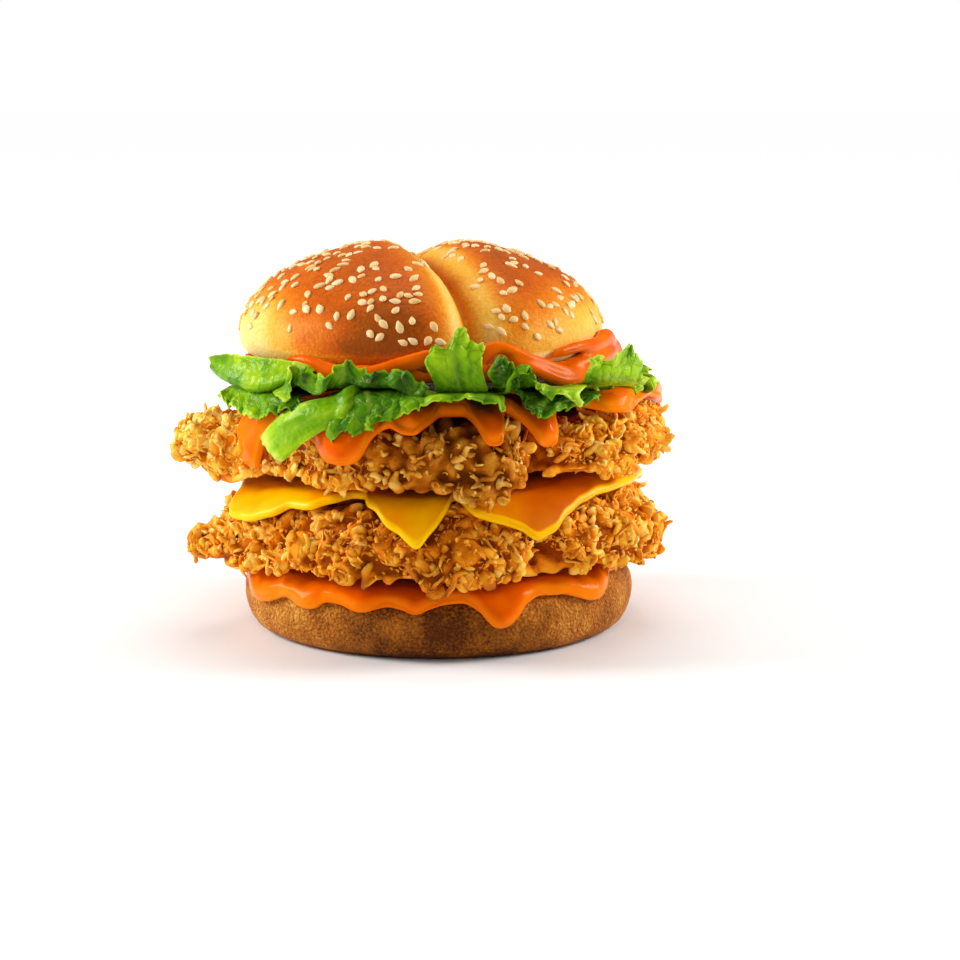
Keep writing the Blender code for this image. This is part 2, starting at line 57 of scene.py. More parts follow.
scene = bpy.context.scene

# Lengths are in millimetres and directions in degrees round the bun's axis. The shown side is at -90.


def wrapped(degrees):
    return (degrees + 180.0) % 360.0 - 180.0


def smooth(value):
    value = np.clip(value, 0.0, 1.0)
    return value * value * (3.0 - 2.0 * value)


def bell(value, middle, half):
    return np.exp(-(((value - middle) / half) ** 2))


def bumps(angle, rows):
    # rows of (direction, height, half-width)
    total = 0.0 * np.asarray(angle, dtype=float)
    for at, height, half in rows:
        total = total + height * bell(wrapped(angle - at), 0.0, half)
    return total


def through(angle, rows):
    # a smooth closed line through rows of (direction, height)
    at, up = np.array(sorted(rows), dtype=float).T
    at = np.concatenate([at[-1:] - 360.0, at, at[:1] + 360.0])
    up = np.concatenate([up[-1:], up, up[:1]])
    angle = wrapped(np.asarray(angle, dtype=float))
    k = np.clip(np.searchsorted(at, angle) - 1, 0, len(at) - 2)
    share = (angle - at[k]) / (at[k + 1] - at[k])
    straight = 0.2  # how far the line keeps to straight runs between its points
    return up[k] + (up[k + 1] - up[k]) * (straight * share + (1.0 - straight) * smooth(share))


def dice(ix, iy, iz, seed):
    # a repeatable random number from 0 to 1 for each lattice corner
    n = (ix * 374761393 + iy * 668265263 + iz * 1440662683 + seed * 1274126177) & 0xFFFFFFFF
    n = ((n ^ (n >> 13)) * 1274126177) & 0xFFFFFFFF
    return ((n ^ (n >> 16)) & 0xFFFFFF) / float(0x1000000)


def softNoise(points, size, seed=0):
    # smooth noise from -1 to 1 over points of shape (..., 3)
    place = np.asarray(points, dtype=float) / size
    low = np.floor(place).astype(np.int64)
    part = smooth(place - low)
    total = 0.0
    for corner in np.ndindex(2, 2, 2):
        share = 1.0
        for axis, high in enumerate(corner):
            share = share * (part[..., axis] if high else 1.0 - part[..., axis])
        total = total + share * dice(*np.moveaxis(low + corner, -1, 0), seed)
    return 2.0 * total - 1.0


def layeredNoise(points, size, seed=0, layers=3):
    shrink, fade = 2.03, 0.55  # from each layer to the next
    total, weight = 0.0, 0.0
    for k in range(layers):
        total = total + softNoise(points, size / shrink**k, seed + 17 * k) * fade**k
        weight += fade**k
    return total / weight


def cellNoise(points, size, seed=0):
    # distance to the nearest and the second nearest of scattered centres, in cell sizes
    place = np.asarray(points, dtype=float) / size
    low = np.floor(place).astype(np.int64)
    first = np.full(place.shape[:-1], 9.0)
    second = np.full(place.shape[:-1], 9.0)
    for step in np.ndindex(3, 3, 3):
        cell = np.moveaxis(low + step - 1, -1, 0)
        away = 0.0
        for axis in range(3):
            away = away + (cell[axis] + dice(*cell, seed + axis) - place[..., axis]) ** 2
        second = np.minimum(second, np.maximum(first, away))
        first = np.minimum(first, away)
    return np.sqrt(first), np.sqrt(second)


def paint(red, green, blue):
    # a colour as the photo shows it, 0 to 255, made linear
    made = []
    for value in (red, green, blue):
        value /= 255.0
        made.append(value / 12.92 if value <= 0.04045 else ((value + 0.055) / 1.055) ** 2.4)
    return tuple(made)


def placed(angle, radius, height):
    turn = np.radians(angle)
    return np.stack(np.broadcast_arrays(radius * np.cos(turn), radius * np.sin(turn), height), axis=-1)


def evenAngles(count):
    return -180.0 + 360.0 * np.arange(count) / count


def newPiece(name, mesh, finish):
    mesh.materials.clear()
    mesh.materials.append(finish)
    mesh.shade_smooth()
    piece = bpy.data.objects.new(name, mesh)
    scene.collection.objects.link(piece)
    return piece


def dress(piece, node, slot):
    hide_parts(node)
    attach(piece, "root")


def keepValues(mesh, values):
    # one number for each point of the mesh, which a finish or a tree reads by its label
    for label, row in values.items():
        layer = mesh.attributes.get(label) or mesh.attributes.new(label, "FLOAT", "POINT")
        layer.data.foreach_set("value", np.ascontiguousarray(row, dtype=np.float32).ravel())


def meshPiece(name, points, faces, finish, values=None):
    mesh = bpy.data.meshes.new(name)
    mesh.from_pydata((np.asarray(points, dtype=float).reshape(-1, 3) * mm).tolist(), [], faces)
    keepValues(mesh, values or {})
    return newPiece(name, mesh, finish)


def pointRows(mesh, label):
    flat = np.empty(len(mesh.vertices) * 3, dtype=np.float32)
    mesh.vertices.foreach_get(label, flat)
    return flat.reshape(-1, 3).astype(float)


def meshPoints(mesh):
    return pointRows(mesh, "co") / mm


def tubeFaces(count, rings):
    # rings of count points, closed by a first and a last point
    i = np.arange(count)
    j = (i + 1) % count
    faces = np.stack([0 * i, 1 + j, 1 + i], axis=1).tolist()
    for low in 1 + count * np.arange(rings - 1):
        faces += np.stack([low + i, low + j, low + count + j, low + count + i], axis=1).tolist()
    top = 1 + (rings - 1) * count
    return faces + np.stack([top + i, top + j, 0 * i + top + count], axis=1).tolist()


def polarPiece(name, angles, radius, height, finish, values=None, centre=(0.0, 0.0)):
    # radius and height hold one row for each angle, from the low pole to the high pole
    grid = placed(np.asarray(angles)[:, None], radius, height) + (*centre, 0.0)
    body = grid[:, 1:-1].transpose(1, 0, 2).reshape(-1, 3)
    points = np.concatenate([grid[:1, 0], body, grid[:1, -1]])
    made = {}
    for label, row in (values or {}).items():
        made[label] = np.concatenate([row[:1, 0], row[:, 1:-1].T.ravel(), row[:1, -1]])
    return meshPiece(name, points, tubeFaces(len(angles), radius.shape[1] - 2), finish, made)


def addNode(tree, kind, inputs=None, **settings):
    node = tree.nodes.new(kind)
    for key, value in settings.items():
        setattr(node, key, value)
    for key, value in (inputs or {}).items():
        if isinstance(value, bpy.types.NodeSocket):
            tree.links.new(value, node.inputs[key])
        else:
            node.inputs[key].default_value = value
    return node


def mathNode(tree, operation, first, second=0.0, clamp=False):
    inputs = {0: first, 1: second}
    return addNode(tree, "ShaderNodeMath", inputs, operation=operation, use_clamp=clamp).outputs[0]


def mixPaint(tree, share, first, second):
    first = (*first, 1.0) if isinstance(first, tuple) else first
    second = (*second, 1.0) if isinstance(second, tuple) else second
    return addNode(tree, "ShaderNodeMix", {0: share, 6: first, 7: second}, data_type="RGBA").outputs[2]


def rampNode(tree, factor, ramp):
    # the ramp's rows are (place, red, green, blue)
    stops = [(place, (*paint(*colour), 1.0)) for place, *colour in ramp.values()]
    node = addNode(tree, "ShaderNodeValToRGB", {"Fac": factor})
    marks = node.color_ramp.elements
    for mark, (place, colour) in zip(marks, (stops[0], stops[-1])):
        mark.position, mark.color = place, colour
    for place, colour in stops[1:-1]:
        marks.new(place).color = colour
    return node.outputs["Color"]


def valueOf(tree, label):
    return addNode(tree, "ShaderNodeAttribute", attribute_name=label).outputs["Fac"]


def newMaterial(name, sockets):
    material = bpy.data.materials.new(name)
    material.use_nodes = True
    shader = material.node_tree.nodes["Principled BSDF"]
    for label, value in sockets.items():
        shader.inputs[label].default_value = value
    return material, material.node_tree, shader


def newGroup(name, inputs, output):
    # a group that several finishes share, fed with where the point is
    tree = bpy.data.node_groups.new(name, "ShaderNodeTree")
    for label in inputs:
        tree.interface.new_socket(label, in_out="INPUT", socket_type="NodeSocketFloat")
    tree.interface.new_socket(output, in_out="OUTPUT", socket_type="NodeSocketFloat")
    where = addNode(tree, "ShaderNodeTexCoord").outputs["Object"]
    return tree, where, tree.nodes.new("NodeGroupInput").outputs, tree.nodes.new("NodeGroupOutput").inputs[0]


def useGroup(tree, group, *values):
    node = tree.nodes.new("ShaderNodeGroup")
    node.node_tree = group
    for socket, value in zip(node.inputs, values):
        socket.default_value = value
    return node.outputs[0]


def makePatchesGroup():
    tree, where, given, out = newGroup("tonePatches", ("Scale", "Contrast"), "Patches")
    noise = addNode(tree, "ShaderNodeTexNoise", {"Vector": where, "Scale": given["Scale"], "Detail": 4.0})
    middle = mathNode(tree, "SUBTRACT", noise.outputs["Fac"], 0.5)
    tree.links.new(mathNode(tree, "MULTIPLY", middle, given["Contrast"]), out)
    return tree


def makeGrainGroup():
    tree, where, given, out = newGroup("surfaceGrain", ("Scale", "Pits"), "Height")
    noise = addNode(tree, "ShaderNodeTexNoise", {"Vector": where, "Scale": given["Scale"], "Detail": 5.0})
    cells = addNode(tree, "ShaderNodeTexVoronoi", {"Vector": where, "Scale": given["Scale"]})
    pits = mathNode(tree, "MULTIPLY", cells.outputs["Distance"], given["Pits"])
    tree.links.new(mathNode(tree, "ADD", noise.outputs["Fac"], pits), out)
    return tree


patchesGroup = makePatchesGroup()
grainGroup = makeGrainGroup()


# A finish is painted by one value of its piece, through a ramp of (place, red, green, blue) rows. "patches" are
# (scale, contrast) rows added to the value, "grain" is (scale, pits) and "bump" is (strength, distance).
crustPaints = {
    "value": "bake", "patches": ((75.0, 0.35), (1100.0, 0.4)), "grain": (1500.0, 0.5), "bump": (0.5, 0.0003),
    "ramp": {"cream": (0.0, 242, 214, 134), "gold": (0.28, 238, 176, 62), "amber": (0.55, 222, 126, 20),
             "brown": (0.8, 198, 88, 6), "deep": (1.0, 150, 70, 12)},
    "shader": {"Roughness": 0.42, "Specular IOR Level": 0.1, "Specular Tint": (1.0, 0.78, 0.45, 1.0)},
}
toastPaints = {
    "value": "toast", "patches": ((160.0, 0.9), (1400.0, 1.0)), "grain": (1100.0, 0.9), "bump": (1.0, 0.0008),
    "ramp": {"dark": (0.0, 92, 44, 12), "brown": (0.5, 182, 104, 28), "gold": (1.0, 236, 174, 76)},
    "shader": {"Roughness": 0.6, "Specular IOR Level": 0.12, "Specular Tint": (1.0, 0.78, 0.45, 1.0)},
}
seedPaints = {
    "value": "tone", "patches": ((900.0, 0.3),), "grain": (2600.0, 0.2), "bump": (0.2, 0.0001),
    "ramp": {"edge": (0.0, 168, 96, 34), "cream": (0.35, 230, 184, 112), "pale": (1.0, 246, 216, 160)},
    "shader": {"Roughness": 0.32, "Specular IOR Level": 0.24},
}
chickenPaints = {
    "value": "proud", "patches": ((260.0, 0.5),), "grain": (1100.0, 0.6), "bump": (0.55, 0.0005),
    "ramp": {"deep": (0.0, 150, 60, 2), "shade": (0.35, 236, 134, 16), "gold": (0.68, 255, 188, 54),
             "pale": (1.0, 255, 228, 132)},
    # mixed in by the value "batter", where the crust is smooth and browner
    "batter": {"deep": (0.0, 96, 40, 2), "shade": (0.35, 166, 86, 6), "brown": (0.68, 220, 144, 36),
               "pale": (1.0, 248, 204, 100)},
    "shader": {"Roughness": 0.34, "Specular IOR Level": 0.22, "Specular Tint": (1.0, 0.78, 0.4, 1.0)},
}
# the cheese's yellow, with deep and orange for painted shade and rim for the painted highlight on its edge
cheesePaints = {
    "value": "rim", "patches": ((70.0, 0.6),), "grain": (420.0, 0.1), "bump": (0.12, 0.0003),
    "ramp": {"deep": (0.0, 206, 92, 0), "orange": (0.3, 236, 140, 0), "yellow": (0.55, 252, 184, 0),
             "rim": (1.0, 255, 206, 14)},
    "shader": {"Roughness": 0.28, "Specular IOR Level": 0.14, "Specular Tint": (1.0, 0.85, 0.35, 1.0),
               "Subsurface Weight": 0.1, "Subsurface Scale": 0.003, "Subsurface Radius": (1.0, 0.6, 0.1)},
}
# the sauce's orange, with deep for painted shade and pale for painted light
saucePaints = {
    "value": "rim", "patches": ((110.0, 0.7),), "grain": (300.0, 0.0), "bump": (0.1, 0.0004),
    "ramp": {"deep": (0.0, 206, 70, 0), "orange": (0.4, 232, 98, 0), "pale": (1.0, 250, 138, 10)},
    "shader": {"Roughness": 0.2, "Specular IOR Level": 0.09, "Specular Tint": (1.0, 0.7, 0.25, 1.0)},
}
leafPaints = {
    "value": "tone", "patches": ((130.0, 0.4),), "grain": (560.0, 0.5), "bump": (0.6, 0.0005),
    "ramp": {"deep": (0.0, 16, 54, 0), "dark": (0.25, 52, 108, 0), "green": (0.5, 104, 154, 0),
             "bright": (0.75, 150, 188, 8), "pale": (1.0, 196, 212, 76)},
    "veins": (0.35, 1.5),  # how pale and how sunk they are
    "shader": {"Roughness": 0.28, "Specular IOR Level": 0.16, "Specular Tint": (0.85, 1.0, 0.45, 1.0),
               "Subsurface Weight": 0.1, "Subsurface Scale": 0.001, "Subsurface Radius": (0.5, 1.0, 0.12)},
}


def makeFinish(name, look, changes=None):
    material, tree, shader = newMaterial(name, {**look["shader"], **(changes or {})})
    tone = valueOf(tree, look["value"])
    for row in look["patches"]:
        tone = mathNode(tree, "ADD", tone, useGroup(tree, patchesGroup, *row))
    colour = rampNode(tree, tone, look["ramp"])
    height = useGroup(tree, grainGroup, *look["grain"])
    if "batter" in look:
        colour = mixPaint(tree, valueOf(tree, "batter"), colour, rampNode(tree, tone, look["batter"]))
    if "veins" in look:
        pale, sunk = (mathNode(tree, "MULTIPLY", valueOf(tree, "vein"), share) for share in look["veins"])
        colour = mixPaint(tree, pale, colour, paint(*look["ramp"]["pale"][1:]))
        height = mathNode(tree, "SUBTRACT", height, sunk)
    strength, distance = look["bump"]
    bump = addNode(tree, "ShaderNodeBump", {"Height": height, "Strength": strength, "Distance": distance})
    tree.links.new(colour, shader.inputs["Base Color"])
    tree.links.new(bump.outputs["Normal"], shader.inputs["Normal"])
    return material


bunCrust = makeFinish("bunCrust", crustPaints)
bunToast = makeFinish("bunToast", toastPaints)
sesame = makeFinish("sesame", seedPaints)
chickenCrust = makeFinish("chickenCrust", chickenPaints)
chickenBatter = makeFinish("chickenBatter", chickenPaints, {"Roughness": 0.5, "Specular IOR Level": 0.06})
cheddar = makeFinish("cheddar", cheesePaints)
chilliMayo = makeFinish("chilliMayo", saucePaints)
lettuce = makeFinish("lettuce", leafPaints)
print("finishes ready")


# The two fillets' smooth skin, which everything between the buns lies on
# "shade" rows of (direction, change, half-width) paint shade and light on the crust by direction: the lower
# front in shade under the cheese, the upper left tip lit
lowerFillet = {
    "radius": 56.3,
    "bumps": ((193, 12.0, 13), (-10, 6.5, 25), (-115, 2.0, 16), (-80, 3.0, 16), (60, 3.0, 15),
              (125, 4.0, 16)),
    "middle": 29.0, "middleBumps": ((190, -2.5, 26), (0, 0.5, 35), (90, -1.0, 30)),
    "top": 41.0, "liftBumps": ((-22, 3.5, 38), (190, -2.5, 20)),
    "sag": 5.0, "sagStart": 48.0, "sagRun": 12.0, "sagBumps": ((192, -0.5, 16),),
    "fold": (-59, 10.0, 6.0), "seed": 3, "bare": 0.5, "shade": ((-92, -0.2, 16),),
}
upperFillet = {
    "radius": 55.8,
    "bumps": ((192, 17.5, 10.5), (-10, 6.5, 24), (-105, 2.0, 18), (-76, 3.5, 12), (70, 3.5, 16),
              (135, 3.5, 15)),
    "middle": 52.0, "middleBumps": ((192, -2.5, 20), (0, 1.5, 30), (-74, -2.0, 16)),
    "top": 63.5, "liftBumps": ((-8, 0.5, 24), (192, -4.0, 18)),
    "sag": 0.8, "sagStart": 52.0, "sagRun": 12.0,
    "sagBumps": ((192, -4.0, 18), (-74, 2.6, 9), (-108, -1.8, 18)),
    "fold": (-59, 13.0, 6.0), "seed": 11, "bare": 0.6,
    "shade": ((-160, 0.14, 20), (-92, 0.08, 18), (-20, 0.05, 20)),
}
stack = {
    "gap": 0.3, "sheetGap": 0.45, "lowerFloor": 19.65, "cheese": 2.0, "liftStart": 0.35, "liftRun": 0.4,
    "topPower": 4.4, "floorPower": 4.6, "tipStart": 53.0, "tipRound": 0.82, "tipFrom": 59.0, "tipRun": 5.0,
}


def rimOf(fillet, angle):
    return fillet["radius"] + bumps(angle, fillet["bumps"])


def middleOf(fillet, angle):
    return fillet["middle"] + bumps(angle, fillet["middleBumps"])


def sagOf(fillet, angle, radius):
    full = fillet["sag"] + bumps(angle, fillet["sagBumps"])
    return full * smooth((radius - fillet["sagStart"]) / fillet["sagRun"])


def topOf(fillet, angle, radius):
    share = np.clip(radius / rimOf(fillet, angle), 0.0, 1.0)
    middle = middleOf(fillet, angle)
    dome = (1.0 - share ** stack["topPower"]) ** (1.0 / stack["topPower"])
    lift = bumps(angle, fillet["liftBumps"]) * smooth((share - stack["liftStart"]) / stack["liftRun"]) * dome
    return middle + (fillet["top"] - middle) * dome + lift - sagOf(fillet, angle, radius)


def floorOf(fillet, angle, radius):
    if fillet is lowerFillet:
        return stack["lowerFloor"] + 0.0 * radius
    radius = np.minimum(radius, 0.97 * rimOf(lowerFillet, angle))
    slope = (topOf(lowerFillet, angle, radius - 0.5) - topOf(lowerFillet, angle, radius)) / 0.5
    upright = (stack["cheese"] + stack["sheetGap"] + 2 * stack["gap"]) * np.hypot(1.0, np.minimum(slope, 1.2))
    return topOf(lowerFillet, angle, radius) + upright


def tipRounding(fillet, angle, radius):
    # thins the fillet's long tips so that they end round
    rim = rimOf(fillet, angle)
    share = np.clip((radius - stack["tipStart"]) / np.maximum(rim - stack["tipStart"], 1.0), 0.0, 1.0)
    long = smooth((rim - stack["tipFrom"]) / stack["tipRun"])
    return 1.0 - long * (1.0 - np.sqrt(1.0 - stack["tipRound"] * share**2))


def sectionOf(fillet, angle, turns):
    # the skin's section: turn 90 is the middle of the top and -90 the middle of the underside
    c = np.maximum(np.cos(np.radians(turns)), 0.0)
    s = np.sin(np.radians(turns))
    radius = rimOf(fillet, angle) * c ** (2.0 / np.where(s >= 0.0, stack["topPower"], stack["floorPower"]))
    middle, floor = middleOf(fillet, angle), floorOf(fillet, angle, radius)
    low = floor + (middle - floor) * (1.0 - np.maximum(-s, 0.0) ** (2.0 / stack["floorPower"]))
    low = low - sagOf(fillet, angle, radius)
    height = np.where(s >= 0.0, topOf(fillet, angle, radius), low)
    centre = middle - sagOf(fillet, angle, radius)
    return radius, centre + (height - centre) * tipRounding(fillet, angle, radius)


tableStep = 0.5  # degrees between the skin table's rows, and millimetres between its columns
tableLength = 96.0


def skinTable(section):
    rows = []
    lengths = np.arange(0.0, tableLength, tableStep)
    for angle in np.arange(-180.0, 180.0, tableStep):
        radius, height = section(angle)
        along = np.concatenate([[0.0], np.cumsum(np.hypot(np.diff(radius), np.diff(height)))])
        run, drop = np.gradient(radius, along), np.gradient(height, along)
        size = np.hypot(run, drop)
        rows.append([np.interp(lengths, along, v) for v in (radius, height, -drop / size, run / size)])
    return np.array(rows)


def onSkin(table, angle, length, standOff):
    # radius and height of the point at an arc length from the top's middle, moved out along the normal
    angle, length = np.broadcast_arrays(np.asarray(angle, float), np.asarray(length, float))
    a = ((angle + 180.0) % 360.0) / tableStep
    b = np.clip(length / tableStep, 0.0, table.shape[2] - 1.001)
    i, j = np.floor(a).astype(int), np.floor(b).astype(int)
    fa, fb = a - i, b - j
    i, i2 = i % len(table), (i + 1) % len(table)
    got = []
    for k in range(4):
        first = table[i, k, j] * (1 - fb) + table[i, k, j + 1] * fb
        second = table[i2, k, j] * (1 - fb) + table[i2, k, j + 1] * fb
        got.append(first * (1 - fa) + second * fa)
    return got[0] + got[2] * standOff, got[1] + got[3] * standOff


def fallTo(table, angles, heights):
    # the arc length at which the skin has fallen to each angle's height
    lengths = np.arange(table.shape[2]) * tableStep
    made = []
    for angle, height in zip(angles, heights):
        row = table[int(round(((angle + 180.0) % 360.0) / tableStep)) % len(table), 1]
        first = int(np.argmax(row))
        made.append(np.interp(-height, -row[first:], lengths[first:]))
    return np.array(made)


skinTurns = np.linspace(90.0, -62.0, 130)
lowerSkin = skinTable(lambda angle: sectionOf(lowerFillet, angle, skinTurns))
upperSkin = skinTable(lambda angle: sectionOf(upperFillet, angle, skinTurns))
print("skins measured")


crown = {
    "radius": 49.0, "centre": (-4.4, 0.0), "underside": 73.0, "widest": 78.0, "top": 103.6, "flatShare": 0.86,
    "creaseTurn": 108.0, "creaseDepth": 8.0, "steepWidth": 10.0, "gentleWidth": 17.0, "slot": 1.6,
    "dents": ((0.35, 14.0, 3), (0.1, 2.6, 5)),  # depth, size, seed
    "angles": 380, "rings": 120,
}
# how brown the crust is, from 0 to 1, with painted shade on the sides facing front and back, low down and
# underneath; the sides are rows of (direction, amount, half-width)
bake = {
    "least": 0.08, "right": 0.06, "rise": 0.78, "wander": 0.1, "sides": ((-104, 1.0, 34), (80, 0.7, 50)),
    "hem": 0.22, "lowFront": 0.25, "lowRight": ((-52, 0.2, 26),), "gentle": 0.8, "lip": 0.8,
    "under": (0.05, 0.75),
}


def crownUnder(radius):
    flat = crown["flatShare"] * crown["radius"]
    share = np.clip((radius - flat) / (crown["radius"] - flat), 0.0, 1.0)
    return crown["widest"] - (crown["widest"] - crown["underside"]) * np.sqrt(1.0 - share * share)


def acrossCrease(turn, radius):
    return radius * np.sin(np.radians(turn - crown["creaseTurn"]))


def crownPoint(turn, share):
    # share runs from 0 at the widest line to 1 at the top
    climb = np.radians(90.0 * share)
    radius = crown["radius"] * np.cos(climb)
    height = crown["widest"] + (crown["top"] - crown["widest"]) * np.sin(climb) ** 0.95
    across = acrossCrease(turn, radius)
    wide = np.where(across > 0.0, crown["steepWidth"], crown["gentleWidth"])
    power = np.where(across > 0.0, 1.5, 1.9)
    depth = crown["creaseDepth"] * np.maximum(0.0, 1.0 - np.abs(across) / wide) ** power
    depth = (depth + crown["slot"] * bell(across, 0.6, 1.1)) * (0.55 + 0.45 * share)
    return np.maximum(radius - depth * np.cos(climb), 0.0), height - depth * (0.25 + 0.75 * np.sin(climb))


def bakeAndShadeOf(turn, share, across, spot):
    sideShade = bumps(turn, bake["sides"])
    wander = bake["wander"] * layeredNoise(spot, 20.0, 9)
    tone = bake["least"] + bake["right"] * np.clip(spot[..., 0] / 40.0, -1.0, 1.0)
    # painted shade: where the sides face front and back, the brown top reaches lower, and a low band and the
    # lower rim darken; low on the front right it is darker too
    tone = tone + bake["rise"] * smooth((share + 0.3 * sideShade - 0.06 + wander) / 0.5)
    tone = tone + bake["hem"] * sideShade * smooth((0.42 - share) / 0.3) * smooth(share / 0.05 + 0.4)
    tone = tone + bake["lowFront"] * np.minimum(sideShade, 1.0) * smooth((0.18 - share) / 0.14)
    tone = tone + bumps(turn, bake["lowRight"]) * smooth((0.5 - share) / 0.4)
    # the crease stays pale, and the lip beside it is pale crust lightened further as a painted highlight
    gentle = bell(across, -5.0, 4.5) * (across < 1.0)
    lip = np.minimum(bell(across, 3.6, 2.6) + 0.35 * bell(across, 8.0, 4.0), 1.0)
    tone = tone * (1.0 - bake["gentle"] * gentle) * (1.0 - bake["lip"] * lip) + 0.1 * gentle
    # the underside is pale, and brown at the front and back as painted shade
    pale, brown = bake["under"]
    return np.where(share <= 0.0, pale + brown * sideShade**2, tone)


def makeCrown():
    angles = evenAngles(crown["angles"])
    turn = angles[:, None]
    shares = np.linspace(0.0, 1.0, crown["rings"])[None, :] + 0.0 * turn
    radius, height = crownPoint(turn, shares)
    radius[:, -1] = 0.0
    height[:, -1] = crownPoint(np.array([crown["creaseTurn"]]), np.array([1.0]))[1]
    under = np.array([0.0, 0.35, 0.6, 0.78, 0.86, 0.9, 0.94, 0.97, 0.985, 0.995])[None, :]
    underRadius = crown["radius"] * under + 0.0 * turn
    underHeight = crownUnder(underRadius)
    notch = crown["radius"] - radius[:, :1]
    underRadius = underRadius - notch * smooth((under - 0.6) / 0.4)
    radius = np.concatenate([underRadius, radius], axis=1)
    height = np.concatenate([underHeight, height], axis=1)
    share = np.concatenate([0.0 * underRadius, shares], axis=1)
    spot = placed(turn, radius, height)
    dents = sum(depth * layeredNoise(spot, size, seed) for depth, size, seed in crown["dents"])
    climb = np.radians(90.0 * share)
    free = smooth(share / 0.04)
    radius, height = (radius + dents * np.cos(climb) * free * (radius > 1.0),
                      height + dents * np.sin(climb) * free * (radius > 1.0))
    values = {"bake": bakeAndShadeOf(turn, share, acrossCrease(turn, radius), spot)}
    piece = polarPiece("bunCrown", angles, radius, height, bunCrust, values, crown["centre"])
    dress(piece, "bun_crown", "bun_crust")


makeCrown()
print("upper bun made")


# Sesame seeds, set out on points by Geometry Nodes. Friends are the seeds that crowd round each first one.
seeds = {
    "count": 96, "friends": 2.7, "length": 2.95, "width": 1.8, "thickness": 0.9, "standOff": 0.1,
    "closest": 1.9, "sizeSpread": 0.16, "tilt": 14.0, "crease": 5.9, "creaseFriends": 4.5, "seed": 5,
}


def newGeoTree(name, kinds):
    tree = bpy.data.node_groups.new(name, "GeometryNodeTree")
    for label, kind in {"Geometry": "Geometry", **kinds}.items():
        tree.interface.new_socket(label, in_out="INPUT", socket_type="NodeSocket" + kind)
    tree.interface.new_socket("Geometry", in_out="OUTPUT", socket_type="NodeSocketGeometry")
    return tree, tree.nodes.new("NodeGroupInput").outputs, tree.nodes.new("NodeGroupOutput").inputs


def randomNode(tree, kind, low, high, seed):
    first, result = {"FLOAT_VECTOR": (0, 0), "FLOAT": (2, 1)}[kind]
    inputs = {first: low, first + 1: high, "Seed": seed}
    return addNode(tree, "FunctionNodeRandomValue", inputs, data_type=kind).outputs[result]


def copiesOnPoints(tree, given, points, turned, size, tones, toneSeed):
    kit = addNode(tree, "GeometryNodeCollectionInfo", {
        "Collection": given["Shapes"], "Separate Children": True, "Reset Children": True})
    copies = addNode(tree, "GeometryNodeInstanceOnPoints", {
        "Points": points, "Instance": kit.outputs[0], "Pick Instance": True, "Rotation": turned, "Scale": size})
    tone = randomNode(tree, "FLOAT", *tones, mathNode(tree, "ADD", given["Seed"], toneSeed))
    kept = addNode(tree, "GeometryNodeStoreNamedAttribute", {
        "Geometry": copies.outputs[0], "Name": "tone", "Value": tone}, data_type="FLOAT", domain="INSTANCE")
    return addNode(tree, "GeometryNodeRealizeInstances", {"Geometry": kept.outputs[0]}).outputs[0]


def finishTree(tree, given, out, geometry):
    done = addNode(tree, "GeometryNodeSetMaterial", {"Geometry": geometry, "Material": given["Finish"]})
    tree.links.new(done.outputs[0], out["Geometry"])
    return tree


def applyTree(piece, tree, values):
    # sets the tree's inputs by identifier
    modifier = piece.modifiers.new(tree.name, "NODES")
    modifier.node_group = tree
    for socket in tree.interface.items_tree:
        if socket.in_out == "INPUT" and socket.name in values:
            modifier[socket.identifier] = values[socket.name]


def plainMesh(piece, name, finish):
    # replaces a piece by what its modifiers make of it
    bpy.context.view_layer.update()
    graph = bpy.context.evaluated_depsgraph_get()
    mesh = bpy.data.meshes.new_from_object(piece.evaluated_get(graph))
    mesh.name = name
    bpy.data.objects.remove(piece)
    return newPiece(name, mesh, finish)


def makeKit(name, shapes):
    # a collection of small shapes that the trees copy
    kit = bpy.data.collections.new(name)
    for k, (points, faces) in enumerate(shapes):
        mesh = bpy.data.meshes.new(f"{name}{k}")
        mesh.from_pydata((np.asarray(points) * mm).tolist(), [], faces)
        keepValues(mesh, {"up": np.asarray(points)[:, 2]})
        kit.objects.link(bpy.data.objects.new(f"{name}{k:02d}", mesh))
    return kit


def dropKit(kit):
    for piece in list(kit.objects):
        bpy.data.objects.remove(piece)
    bpy.data.collections.remove(kit)


def roundShape(segments, rings):
    bm = bmesh.new()
    bmesh.ops.create_uvsphere(bm, u_segments=segments, v_segments=rings, radius=1.0)
    points = np.array([v.co[:] for v in bm.verts])
    faces = [[v.index for v in f.verts] for f in bm.faces]
    bm.free()
    return points, faces


def seedShape(points, plump):
    # a flat drop with one pointed end
    x, y, z = points.T
    y = y * (1.0 - 0.42 * smooth((x + 0.1) / 1.1) ** 0.8)
    z = z * (1.0 - 0.3 * smooth(x))
    size = np.array([seeds["length"], seeds["width"], seeds["thickness"]]) * 0.55
    return np.stack([x, y, np.sign(z) * np.abs(z) ** plump], axis=1) * size


def makePointTree():
    kinds = {"Shapes": "Collection", "Finish": "Material", "Size spread": "Float", "Seed": "Int"}
    tree, given, out = newGeoTree("copiesOnPoints", kinds)
    turn = addNode(tree, "GeometryNodeInputNamedAttribute", {"Name": "turn"}, data_type="FLOAT_VECTOR")
    turned = addNode(tree, "FunctionNodeEulerToRotation", {"Euler": turn.outputs[0]}).outputs[0]
    low, high = (mathNode(tree, sign, 1.0, given["Size spread"]) for sign in ("SUBTRACT", "ADD"))
    size = randomNode(tree, "FLOAT", low, high, given["Seed"])
    points = addNode(tree, "GeometryNodeMeshToPoints", {"Mesh": given["Geometry"]}).outputs[0]
    return finishTree(tree, given, out, copiesOnPoints(tree, given, points, turned, size, (0.3, 0.95), 5.0))


